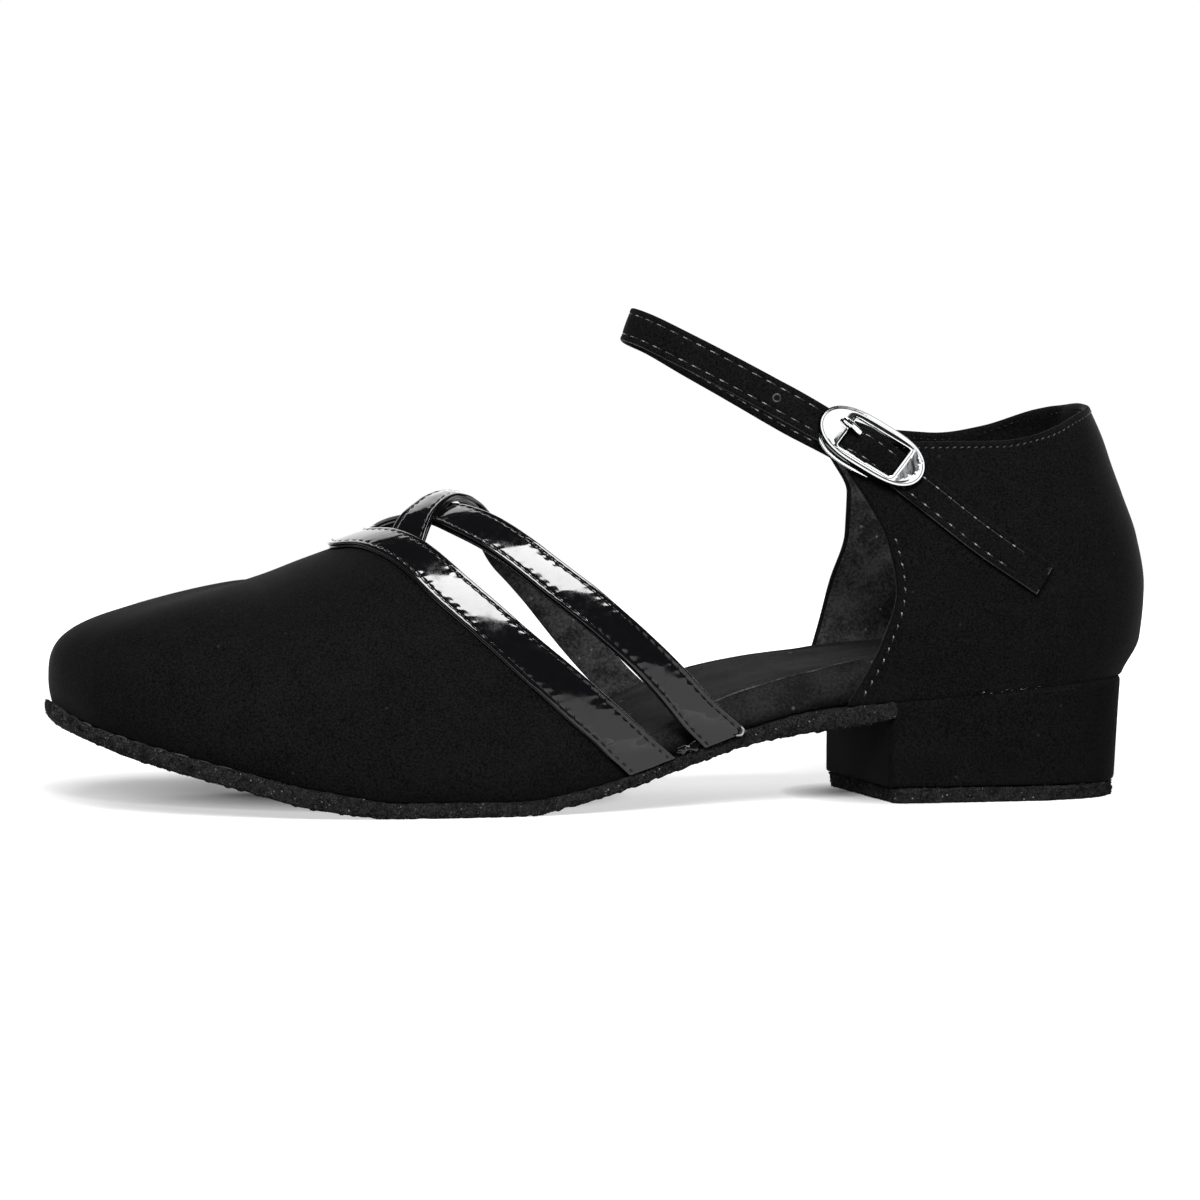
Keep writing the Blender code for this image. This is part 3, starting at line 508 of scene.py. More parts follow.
# Rows of thread: length, radius, look, sink of the ends, lift of the middle, slant, shift along the row
threadKinds = {
    "patent": (1.2, 0.17, "threadDark", 0.1, 0.02),
    "front": (1.7, 0.15, "threadDark", 0.12, 0.05, 0.35),
    "frontGlint": (0.85, 0.17, "paintedGlint", 0.1, 0.1, 0.3, 0.3),
    "pinhole": (0.5, 0.2, "threadDark", 0.0, 0.0),
    "collar": (1.0, 0.16, "thread", 0.12, 0.06, 0.3),
    "insole": (1.6, 0.2, "insoleWorn", 0.0, 0.05),
    "ankle": (2.5, 0.13, "threadMid", 0.12, 0.05),
    "ankleLoop": (1.7, 0.13, "paintedGlint", 0.1, 0.08, 0.0, -0.5),
    "ankleTail": (1.0, 0.16, "paintedGlint", 0.1, 0.08, 0.0, -0.5),
    "tailEdge": (0.57, 0.13, "thread", 0.05, 0.05),
    "soleEdge": (3.4, 0.13, "edge", 0.1, 0.06),
}


def stitches(name, line, normals, pitch, kind):
    # a row of thread along a line of points on a surface
    length, radius, look, sink, lift, slant, shift = (*threadKinds[kind], 0.0, 0.0)[:7]
    run = runOf(line)
    count = max(int(run[-1] / pitch), 2) - 1
    ringCount, sides = 7, 6
    share = np.linspace(-0.5, 0.5, ringCount)
    at = ((np.arange(count) + 0.5) * pitch + shift)[:, None] + share * length
    spine, up = readAlong(at, run, line), unit(readAlong(at, run, normals))
    across = unit(np.cross(up, unit(np.gradient(spine, axis=1))))
    arch = lift * (1 - (2 * share) ** 2) - sink * (2 * np.abs(share)) ** 4
    spine = spine + up * arch[:, None] + across * (slant * share)[:, None]
    thick = radius * np.sqrt(np.clip(1.04 - (2 * share) ** 6, 0.05, 1.0))
    verts = roundRings(spine, across, up, thick[:, None], sides)
    faces = []
    for k in range(count):
        faces += loftFaces(ringCount, sides, k * ringCount * sides)
    return dress(outwards(addPiece(name, verts, faces, [look])), None)


def aim(item, location, target, roll=0.0):
    item.location = location
    towards = (Vector(target) - Vector(location)).to_track_quat("-Z", "Y")
    item.rotation_mode = "QUATERNION"
    item.rotation_quaternion = towards @ Matrix.Rotation(roll, 3, "Z").to_quaternion()


# Camera as in the photograph
cameraSet = {
    "azimuth": -13.7, "elevation": 2.8, "distance": 1.4, "target": (-0.00107, 0.0, 0.0444),
    "lens": 189.23, "sensor": 36.0, "clip": (0.05, 30.0),
}


def makeCamera():
    data = bpy.data.cameras.new("camera")
    data.lens, data.sensor_width = cameraSet["lens"], cameraSet["sensor"]
    data.clip_start, data.clip_end = cameraSet["clip"]
    camera = addObject("camera", data)
    a, e = math.radians(cameraSet["azimuth"]), math.radians(cameraSet["elevation"])
    back = Vector((math.sin(a) * math.cos(e), -math.cos(a) * math.cos(e), math.sin(e)))
    target = Vector(cameraSet["target"])
    aim(camera, target + back * cameraSet["distance"], target)
    bpy.context.scene.camera = camera


makeCamera()
print("camera set")

# Vamp: toe sections fan out from the pivot, the rest follows the last back to the topline
vampShape = {"wall": 1.6, "edgeBack": 0.8, "toeRows": 64, "backRows": 64, "unevenness": 0.07}
toplineRows = (
    (0.0, 71.2), (0.08, 74.2), (0.2, 78.4), (0.4, 86.6), (0.53, 95.6), (0.72, 112.0), (0.85, 122.2),
    (1.0, 131.4),
)
medialRows = [(-girth, station) for girth, station in toplineRows[:0:-1]]
topline = tableCurves(("girth", "station"), medialRows + list(toplineRows))["station"]


def toePoints(side, roots, shares):
    # the last in front of the pivot
    pivot = shoe["pivot"]
    top = np.array([pivot, float(ridge["shift"](pivot)), float(ridge["crest"](pivot))])
    spots = []
    for outline in (widest[side], feather[side]):
        tip = outline[0][0]
        x = tip + (pivot - tip) * roots ** 2
        spots.append(np.stack([x, edgeY(outline, x), soleTop(x) + shoe["rest"]], -1))
    wide, low = spots
    wide[:, 2] = low[:, 2] + shoe["belly"]
    away = wide[:, :2] - top[:2]
    ahead = (away[:, 0] / np.hypot(away[:, 0], away[:, 1])) ** 2
    roundness = float(ridge["round"](pivot)) * (1 - ahead) + shoe["toeRound"] * ahead
    shape = (len(roots), len(shares))
    values = (wide, low, roundness, shoe["toeDroop"] * ahead)
    spread = [np.broadcast_to(value[:, None], shape + value.shape[1:]) for value in values]
    return sectionPoints(np.broadcast_to(top, shape + (3,)), *spread, np.broadcast_to(shares, shape))


def makeVamp():
    shares = np.concatenate([np.linspace(0.0, 0.88, 52), np.linspace(0.9, 1.0, 9)])
    roots = np.linspace(0.0, 1.0, vampShape["toeRows"])
    fan = np.concatenate([toePoints("medial", roots[:0:-1], shares), toePoints("lateral", roots, shares)])
    girths = np.concatenate([-shares[:0:-1], shares])
    part = np.linspace(0.0, 1.0, vampShape["backRows"])[:, None]
    stations = shoe["pivot"] + (topline(girths) - vampShape["edgeBack"] - shoe["pivot"])[None, :] * part
    back = lastPoint(stations, girths[None, :])[:, ::-1]
    verts = np.concatenate([fan.reshape(-1, 3), back.reshape(-1, 3)])
    faces = gridFaces(*fan.shape[:2]) + gridFaces(*back.shape[:2], start=fan[..., 0].size)
    piece = addPiece("vamp", verts, faces, ["nubuck", "lining"])
    build = bmesh.new()
    build.from_mesh(piece.data)
    bmesh.ops.remove_doubles(build, verts=build.verts, dist=0.00001)
    bmesh.ops.recalc_face_normals(build, faces=build.faces)
    middle = Vector((-0.06, 0.0, 0.02))
    if sum((f.calc_center_median() - middle).dot(f.normal) for f in build.faces) < 0:
        bmesh.ops.reverse_faces(build, faces=build.faces)
    for vert in build.verts:  # slight handwork unevenness
        wave = float(ripple(np.array(vert.co) * 1000, 26.0, 11))
        vert.co += vert.normal * wave * vampShape["unevenness"] * 0.001
    build.to_mesh(piece.data)
    build.free()
    wall = piece.modifiers.new("wall", "SOLIDIFY")
    wall.thickness, wall.offset = vampShape["wall"] * 0.001, -1.0
    wall.use_quality_normals, wall.material_offset = True, 1
    return dress(piece, "vamp")


makeVamp()
print("vamp made")

# Patent band and crossed straps: folded strips with stitch rows that pucker the gloss
strapShape = {
    "bandWidth": 9.0, "bandThick": 1.4, "strapWidth": 8.6, "strapThick": 1.9, "crown": 0.12,
    "rowInset": 1.35, "pitch": 2.3, "pucker": 0.12, "scallop": 0.045, "spacing": 0.24, "end": 0.985,
    "lift": 0.55, "overLift": 0.75, "tuck": 0.25, "soften": 8.0,
}
crossStations = tableCurves(("girth", "lateral", "medial"), (
    (-1.0, 143.2, 144.8), (-0.78, 130.0, 132.0), (-0.55, 113.2, 117.2), (-0.44, 104.9, 109.6),
    (-0.31, 96.9, 101.4), (-0.16, 89.6, 93.2), (0.0, 83.6, 85.6), (0.17, 77.6, 77.8), (0.27, 74.4, 74.6),
))
# the far strap over the near one: lower and upper edge of its face, from the medial side forwards
overRows = np.array((
    ((100.2, 20.4, 60.2), (105.8, 17.0, 57.6)), ((97.0, 14.8, 65.6), (102.1, 11.5, 62.4)),
    ((93.0, 9.5, 68.5), (98.3, 7.0, 65.7)), ((88.6, 5.0, 69.2), (94.2, 2.0, 67.9)),
    ((83.6, 2.0, 67.8), (89.2, -3.2, 68.4)), ((80.9, 0.0, 66.3), (85.9, -7.0, 66.9)),
    ((78.5, -3.0, 65.1), (83.0, -10.0, 64.2)), ((76.1, -5.0, 63.0), (81.2, -13.0, 61.2)),
    ((74.7, -6.0, 60.6), (79.6, -15.5, 58.3)), ((73.9, -6.6, 59.2), (78.9, -16.6, 56.9)),
))
# folded edge: distance in from the edge, share of the thickness
foldRows = np.array((
    (0.55, 0.0), (0.2, 0.04), (0.05, 0.14), (0.0, 0.25), (0.08, 0.36), (0.27, 0.42), (0.12, 0.49),
    (0.0, 0.62), (0.02, 0.78), (0.08, 0.9), (0.18, 0.97), (0.32, 0.998), (0.5, 1.005), (0.75, 1.006),
    (0.95, 1.0), (1.15, 0.975), (1.35, 0.955), (1.55, 0.975), (1.72, 0.992), (1.95, 1.0), (2.35, 1.004),
    (2.8, 1.008), (3.4, 1.02),
))


def stripEdge(girths, station, across, height):
    # a line along the last, at a distance from a strip's middle and a height above the last
    step = 0.01
    x = station(girths)
    along = lastPoint(x + step, girths) - lastPoint(x - step, girths)
    before, after = girths - step, girths + step
    ahead = unit(lastPoint(station(after), after) - lastPoint(station(before), before))
    square = np.linalg.norm(along - ahead * np.sum(along * ahead, -1, keepdims=True), axis=-1) / (2 * step)
    stations = x + across / square
    return lastPoint(stations, girths) + lastNormal(stations, girths) * (height + 0 * girths)[:, None]


def softLine(line):
    # running average along a line of rows, straight on past both ends
    reach = strapShape["soften"]
    steps = int(3 * reach)
    weight = np.exp(-0.5 * (np.arange(-steps, steps + 1) / reach) ** 2)
    longer = np.concatenate([2 * line[0] - line[steps:0:-1], line, 2 * line[-1] - line[-2:-steps - 2:-1]])
    columns = [np.convolve(longer[:, k], weight / weight.sum(), "valid") for k in range(line.shape[1])]
    return np.stack(columns, -1)


def evenRibbon(low, high, thick):
    # even steps along a strip: run, lower edge, width, the way outwards and thickness
    run = runOf((low + high) / 2)
    at = np.arange(0.0, run[-1], strapShape["spacing"])
    both = softLine(readAlong(at, run, np.concatenate([low, high, thick[:, None]], -1)))
    low, width = both[:, :3], both[:, 3:6] - both[:, :3]
    normal = unit(np.cross(np.gradient(low + width / 2, axis=0), width))
    return at, low, width, normal * np.sign(np.sum(normal[:, 2])), both[:, 6]


def patentStrip(name, low, high, thick, seed):
    run, low, width, normal, thick = evenRibbon(low, high, thick)
    span = np.linalg.norm(width, axis=-1)[:, None]
    inset, level = foldRows.T
    count = len(inset)
    # columns: lower edge upwards, middle, upper edge downwards, middle of the underside
    side = np.concatenate([np.zeros(count), [0.5], np.ones(count), [0.5]])
    edge = np.concatenate([inset, [3.6], inset[::-1], [3.6]])
    share = np.concatenate([level, [1.03], level[::-1], [0.0]])
    isTop = share > 0.5
    lane = side * span + np.where(side == 0.5, 0.0, np.where(side == 0, edge, -edge))
    height = (share - 1.0)[None, :] * thick[:, None]
    wave = (0.5 - 0.5 * np.cos(2 * math.pi * run / strapShape["pitch"])) ** 0.75
    draw = np.random.default_rng(seed)
    uneven = 0.75 + 0.5 * np.interp(run, np.linspace(0, run[-1], 60), draw.uniform(0, 1, 60))
    pull = strapShape["pucker"] * bell(edge, strapShape["rowInset"], 0.3)
    pull = pull + strapShape["scallop"] * bell(edge, strapShape["rowInset"] + 0.7, 0.75)
    crown = strapShape["crown"] * (1 - (2 * lane / span - 1) ** 2)
    height = height + np.where(isTop[None, :], crown - (wave * uneven)[:, None] * pull[None, :], 0.0)
    verts = low[:, None] + (width / span)[:, None] * lane[..., None] + normal[:, None] * height[..., None]
    wobble = unevenness(verts, ((0.034, 7.0, seed + 20), (0.005, 2.6, seed + 40)))
    verts = verts + normal[:, None] * np.where(isTop[None, :], wobble, 0.0)[..., None]
    lookRow = np.where((share < 0.2) & (edge > 0.15), 1, 0)
    looks = np.concatenate([np.tile(np.minimum(lookRow, np.roll(lookRow, -1)), len(run) - 1), [0, 0]])
    piece = loft(name, verts, ["patent", "lining"], looks)
    inRow = strapShape["rowInset"] / span
    for tag, side in (("A", inRow), ("B", 1 - inRow)):
        line = low + width * side + normal * (strapShape["crown"] * 0.4 - 0.1 * thick)[:, None]
        stitches(name + "Stitch" + tag, line, normal, strapShape["pitch"], "patent")
    return dress(piece, "patent_straps")


def makePatent():
    size = strapShape
    half, gap = size["strapWidth"] / 2, shoe["gap"]
    girths = np.linspace(-size["end"], size["end"], 500)
    wide = size["bandWidth"] + 0.7 * bell(np.abs(girths), 0.75, 0.15)
    top = gap + size["bandThick"]
    patentStrip("patentBand", stripEdge(girths, topline, -wide, top), stripEdge(girths, topline, 0.4, top),
                np.full(500, size["bandThick"]), 1)
    # the near strap thins out under the band at its front end
    girths = np.linspace(-size["end"], size["tuck"], 400)
    dive = 1.0 - 0.8 * smoothStep(girths, 0.11, 0.2)
    top = gap + (size["lift"] - gap + size["strapThick"]) * dive
    wide = half * (1 + 0.26 * bell(girths, -0.22, 0.1) - 0.15 * bell(girths, -0.68, 0.13))
    near = crossStations["lateral"]
    patentStrip("lateralStrap", stripEdge(girths, near, -wide, top), stripEdge(girths, near, half + 0.5, top),
                size["strapThick"] * dive, 5)
    # the far strap lies on the last up to the crossing and rises over the near one
    girths = np.array((size["end"], 0.95, 0.9, 0.84, 0.77, 0.7, 0.63, 0.56, 0.5, 0.44))
    top = size["overLift"] + size["strapThick"]
    wide = half * (1 - 0.2 * bell(girths, 0.72, 0.16))
    lines = []
    front = half + 1.1 * bell(girths, 0.7, 0.18)
    for across, place in ((-front, 0), (wide, 1)):
        lowPart = stripEdge(girths, lambda g: crossStations["medial"](-g), across, top)
        lines.append(smoothRoute(np.concatenate([lowPart, overRows[:, place]]), 700))
    thick = size["strapThick"] * (1.0 - 0.35 * smoothStep(np.arange(700), 620, 690))
    patentStrip("medialStrap", lines[0], lines[1], thick, 9)


makePatent()
print("patent band and straps made")

# Quarter: nubuck outside, charcoal lining inside, turned edges with a stitch row
quarterShape = {
    "wall": 2.0, "roll": 0.85, "widest": 203.0, "round": 2.25, "seatLevel": 25.0, "collarLevel": 82.0,
    "roundShare": 0.55, "frontRow": 1.05, "collarRow": 0.7, "pinRow": 0.5, "pitch": 2.75, "collarPitch": 1.65,
    "pinPitch": 2.3, "pucker": 0.16, "turned": 0.16, "rowSink": 0.1,
}
quarterRows = tableCurves(("z", "half", "back", "lateral", "medial"), (
    (21.0, 26.8, 241.6, 172.2, 175.0), (27.0, 27.6, 243.4, 176.0, 177.8), (35.0, 29.2, 247.6, 179.8, 180.8),
    (47.0, 30.4, 248.6, 183.0, 184.5), (58.0, 30.1, 246.7, 181.0, 188.0), (67.0, 29.2, 243.4, 176.5, 188.2),
    (74.0, 28.4, 240.7, 172.0, 184.6), (80.0, 27.6, 238.6, 169.2, 180.0), (87.0, 26.4, 235.4, 168.0, 178.0),
))
collar = tableCurves(("x", "height"), (
    (168.0, 81.0), (186.0, 80.0), (207.0, 80.1), (219.0, 82.2), (229.0, 85.6), (238.0, 88.0),
))["height"]


def quarterPlan(column, z):
    turn = np.abs(column)
    half, back = quarterRows["half"](z), quarterRows["back"](z)
    front = np.where(column < 0, quarterRows["lateral"](z), quarterRows["medial"](z)) + quarterShape["roll"]
    wide, roundShare, power = quarterShape["widest"], quarterShape["roundShare"], 2 / quarterShape["round"]
    angle = np.clip(turn / roundShare, 0.0, 1.0) * math.pi / 2
    behind = wide + (back - wide) * np.maximum(np.cos(angle), 0.0) ** power
    ahead = wide + (front - wide) * (turn - roundShare) / (1 - roundShare)
    onRound = turn <= roundShare
    return np.where(onRound, behind, ahead), np.where(onRound, half * np.sin(angle) ** power, half)


def quarterPoint(column, level):
    column, level = np.broadcast_arrays(np.asarray(column, float), np.asarray(level, float))
    low = seat(quarterPlan(column, np.full(column.shape, quarterShape["seatLevel"]))[0]) + shoe["gap"]
    station = quarterPlan(column, np.full(column.shape, quarterShape["collarLevel"]))[0]
    rise = np.where(column > 0, 1.7 * bell(station, 194.0, 14.0), 0.0)  # the medial collar is fuller
    high = collar(station) - quarterShape["roll"] + rise
    z = low + (high - low) * level
    x, half = quarterPlan(column, z)
    return np.stack([x, np.where(column > 0, half, -half), z], -1)


def quarterHalfWidth(x, z, inset=0.0):
    half, back = quarterRows["half"](z) - inset, quarterRows["back"](z) - inset
    wide, power = quarterShape["widest"], quarterShape["round"]
    share = np.clip((x - wide) / (back - wide), 0.0, 1.0)
    return half * (1 - share ** power) ** (1 / power)


def frontDistance(points, column):
    # distance back from the front edge, square to it
    z = points[..., 2]
    total = 1e9
    for side, mask in (("lateral", column < 0), ("medial", column >= 0)):
        front = quarterRows[side](z) + quarterShape["roll"]
        lean = (quarterRows[side](z + 0.5) - quarterRows[side](z - 0.5))
        away = (points[..., 0] - front) / np.sqrt(1 + lean ** 2)
        total = np.where(mask, away, total)
    return total


def perimeter(rows, columns):
    index = np.arange(rows * columns).reshape(rows, columns)
    return np.concatenate([index[0, :-1], index[:-1, -1], index[-1, :0:-1], index[:0:-1, 0]])


def closedShell(name, outer, inner, looks, facing, roll, rimSteps=5):
    # outside and inside grids joined by a rolled rim
    rows, columns = outer.shape[:2]
    count = rows * columns
    around = perimeter(rows, columns)
    flatOut, flatIn = outer.reshape(-1, 3), inner.reshape(-1, 3)
    rowOf, columnOf = around // columns, around % columns
    inward = np.clip(rowOf, 1, rows - 2) * columns + np.clip(columnOf, 1, columns - 2)
    away = unit(flatOut[around] - flatOut[inward])
    half = (flatOut[around] - flatIn[around]) / 2
    away = unit(away - unit(half) * np.sum(away * unit(half), -1, keepdims=True))
    middle = (flatOut[around] + flatIn[around]) / 2
    rim = []
    for k in range(1, rimSteps + 1):
        turn = math.pi * k / (rimSteps + 1)
        reach = np.linalg.norm(half, axis=-1, keepdims=True) * roll * math.sin(turn)
        rim.append(middle + half * math.cos(turn) + away * reach)
    verts = np.concatenate([flatOut, flatIn] + rim)
    faces = gridFaces(rows, columns) + gridFaces(rows, columns, start=count, flip=True)
    # lining inside, up to a facing strip below the collar
    above = rows - 1 - facing
    faceLooks = [0] * (len(faces) // 2) + [1] * (facing * (columns - 1)) + [0] * (above * (columns - 1))
    rimIndex = np.arange(rimSteps * len(around)).reshape(rimSteps, -1) + 2 * count
    rings = [around, *rimIndex, around + count]
    for place, (first, second) in enumerate(zip(rings, rings[1:])):
        for a, b, c, d in zip(first, np.roll(first, -1), np.roll(second, -1), second):
            faces.append([int(a), int(d), int(c), int(b)])
            faceLooks.append(2 if place == 1 else 0)
    return outwards(addPiece(name, verts, faces, looks, faceLooks))


def makeQuarter():
    size, slot = quarterShape, "nubuck_black"
    edgeSteps = np.concatenate([np.linspace(0.0, 0.075, 20), np.linspace(0.085, 0.45, 26)])
    columns = np.concatenate([-1 + edgeSteps, np.linspace(-0.54, 0.54, 91), (1 - edgeSteps)[::-1]])
    levels = np.concatenate([np.linspace(0.0, 0.9, 64), np.linspace(0.908, 1.0, 22)])
    grid = quarterPoint(columns[None, :], levels[:, None])
    normals = gridNormals(grid)
    if np.sum(normals[:, 0, 1]) > 0:
        normals = -normals
    away = frontDistance(grid, np.broadcast_to(columns, grid.shape[:2]))
    height = (1 - levels)[:, None] * (grid[-1:, :, 2] - grid[:1, :, 2])
    frontWave = stitchWave(grid[..., 2], size["pitch"])
    collarWave = stitchWave(runOf(grid[-1])[None, :], size["collarPitch"])
    push = size["turned"] * (bell(away, 0.5, 0.8) + bell(height, 0.3, 0.6))
    push = push - size["pucker"] * (0.5 + 0.5 * frontWave) * bell(away, size["frontRow"], 0.45)
    push = push - size["pucker"] * (0.5 + 0.5 * collarWave) * bell(height, size["collarRow"], 0.4)
    push = push + 0.06 * ripple(grid, 24.0, 31)
    crease = 0.32 * ripple(grid * np.array([1.0, 1.0, 1.6]), 11.0, 37) * smoothStep(away, 2.0, 8.0)
    holes = bell(height, size["collarRow"] + 0.4, 0.4) * collarWave + bell(away, 2.2, 0.4) * frontWave
    inside = size["wall"] + np.minimum(crease, 0.25) - 0.1 + 0.14 * holes
    outer, inner = grid + normals * push[..., None], grid - normals * inside[..., None]
    # one band of the rolled rim in the darker, sheen-less nubuck copy
    piece = closedShell("quarter", outer, inner, ["nubuck", "lining", "nubuckHeel"], 63, 0.75)
    dress(piece, "quarter")
    # thread along the front edges with pale beads as painted glints, pinholes inside them
    sink, deep = size["rowSink"], size["wall"] - size["rowSink"]
    fine = np.linspace(0.02, 0.71, 300)
    for tag, sign in (("Lateral", -1.0), ("Medial", 1.0)):
        front = quarterRows[tag.lower()]
        z = quarterPoint(np.full(300, sign), fine)[:, 2]
        slope = np.sqrt(1 + (front(z + 0.5) - front(z - 0.5)) ** 2)
        lines = []
        for behind, level in ((size["frontRow"], sink), (size["pinRow"], deep)):
            x = front(z) + (size["roll"] + behind) * slope
            lines.append(np.stack([x, sign * (quarterHalfWidth(x, z) - level), z], -1))
        up = np.tile([0.0, sign, 0.0], (300, 1))
        stitches("quarterFront" + tag, lines[0], up, size["pitch"], "front")
        stitches("quarterGlint" + tag, lines[0], up, size["pitch"], "frontGlint")
        stitches("quarterPinholes" + tag, lines[1], -up, size["pinPitch"], "pinhole")
    # the same below the collar
    around = np.linspace(-0.985, 0.985, 700)
    top = quarterPoint(around, np.ones(700))
    below = quarterPoint(around, 1 - size["collarRow"] / (top[:, 2] - seat(top[:, 0])))
    up = unit(np.cross(np.gradient(below, axis=0), top - below))
    if up[0, 1] > 0:
        up = -up
    stitches("collarThread", below - up * sink, up, size["collarPitch"], "collar")
    stitches("collarPinholes", below - up * deep, -up, size["collarPitch"], "pinhole")


makeQuarter()
print("quarter made")

# Outsole, heel and top piece: rough suede with loose fibre at the edges
soleShape = {
    "edgeRound": 0.75, "rough": 0.26, "fibres": 9000, "topFibres": 3000, "ball": 83.0, "ballReach": 13.0,
    "clear": 0.02, "wornFrom": (150.0, 172.0),
}


def soleSide(sign, x):
    return np.where(sign < 0, sole["lateral"](x), sole["medial"](x))


def makeOutsole():
    roots = np.concatenate([np.linspace(0.12, 3.2, 76), np.linspace(3.22, math.sqrt(shoe["soleEnd"]), 640)])
    stations = roots ** 2
    low, thick = sole["under"](stations), sole["thick"](stations)
    left, right = sole["lateral"](stations), sole["medial"](stations)
    # the edge is rounded square to the outline
    ease = [soleShape["edgeRound"] * np.hypot(1, np.gradient(y, stations)) for y in (left, right)]
    easeLeft, easeRight = (np.minimum(reach, (right - left) / 2.6) for reach in ease)
    innerLeft, innerRight = left + easeLeft, right - easeRight
    across = innerRight - innerLeft
    turn = np.linspace(-0.5, 0.5, 9) * math.pi
    rise = [low + thick / 2 + thick / 2 * np.sin(angle) for angle in turn]
    # underside to the medial side, medial edge upwards, top to the lateral side, lateral edge downwards
    loop = [(innerLeft + across * share, low, 0.0) for share in np.linspace(0.02, 0.98, 26)]
    loop += [(innerRight + easeRight * np.cos(angle), z, 1.0) for angle, z in zip(turn, rise)]
    loop += [(innerLeft + across * share, low + thick, 0.0) for share in np.linspace(0.98, 0.02, 14)]
    loop += [(innerLeft - easeLeft * np.cos(angle), z, -1.0) for angle, z in zip(turn[::-1], rise[::-1])]
    verts = np.stack([np.stack([stations, y, z], -1) for y, z, _ in loop], 1)
    sides = np.array([mark for _, _, mark in loop])
    rough = soleShape["rough"] * unevenness(verts, ((0.7, 0.9, 50), (0.8, 1.7, 51), (0.8, 4.5, 52)))
    rough = rough + 0.35 * ripple(verts, 3.4, 54) * smoothStep(stations, *soleShape["wornFrom"])[:, None]
    verts[..., 1] += rough * sides * 0.8
    verts[..., 2] += 0.5 * rough * np.abs(sides)
    verts[..., 2] += 0.08 * ripple(verts, 2.2, 53)
    onBall = np.abs(stations - soleShape["ball"]) < soleShape["ballReach"]
    floor = np.where(onBall, 0.0, soleShape["clear"])  # only the ball touches the floor
    verts[..., 2] = np.maximum(verts[..., 2], floor[:, None])
    dress(loft("outsole", verts, ["sole"]), "outsole")
    draw = np.random.default_rng(61)
    count = soleShape["fibres"]
    x = draw.uniform(0.8, math.sqrt(shoe["soleEnd"] - 1), count) ** 2
    sign = np.where(draw.uniform(size=count) < 0.7, -1.0, 1.0)
    z = sole["under"](x) + sole["thick"](x) * draw.uniform(0.08, 1.0, count)
    slope = (soleSide(sign, x + 0.4) - soleSide(sign, np.maximum(x - 0.4, 0))) / 0.8
    away = unit(np.stack([-np.abs(slope), sign, 0.15 * np.ones(count)], -1))
    roots = np.stack([x, soleSide(sign, x) - 0.12 * sign, z], -1)
    fibres("outsoleFibres", roots, away, "fuzz", (0.2, 0.62), 62)


heelShape = {
    "breast": 182.7, "back": 242.8, "half": 27.4, "corner": 2.3, "taperSide": 0.4, "taperBack": 1.4,
    "backDepth": 1.05, "backRound": 0.9, "steps": 360,
    "topPiece": 3.2, "topFront": 0.9, "topBack": 0.8, "proud": 0.5,
}


def heelOutline(half, back, front):
    # plan of the heel, evenly stepped round its edge
    size = heelShape
    middle = back - half * size["backDepth"]
    points = [(front + size["corner"], -half)]
    for angle in np.linspace(-math.pi / 2, math.pi / 2, 121):
        x = middle + (back - middle) * max(math.cos(angle), 0.0) ** size["backRound"]
        points.append((x, half * math.copysign(abs(math.sin(angle)) ** size["backRound"], angle)))
    for sign in (1, -1):
        for angle in np.linspace(0, math.pi / 2, 7)[::sign]:
            y = sign * (half - size["corner"] * (1 - math.cos(angle)))
            points.append((front + size["corner"] * (1 - math.sin(angle)), y))
    return evenLoop(np.array(points), size["steps"])


def softRims(low, levels, high):
    # level of each ring and its pull towards the middle: soft lower and upper rims
    return low + [(level, 0.0) for level in levels] + high


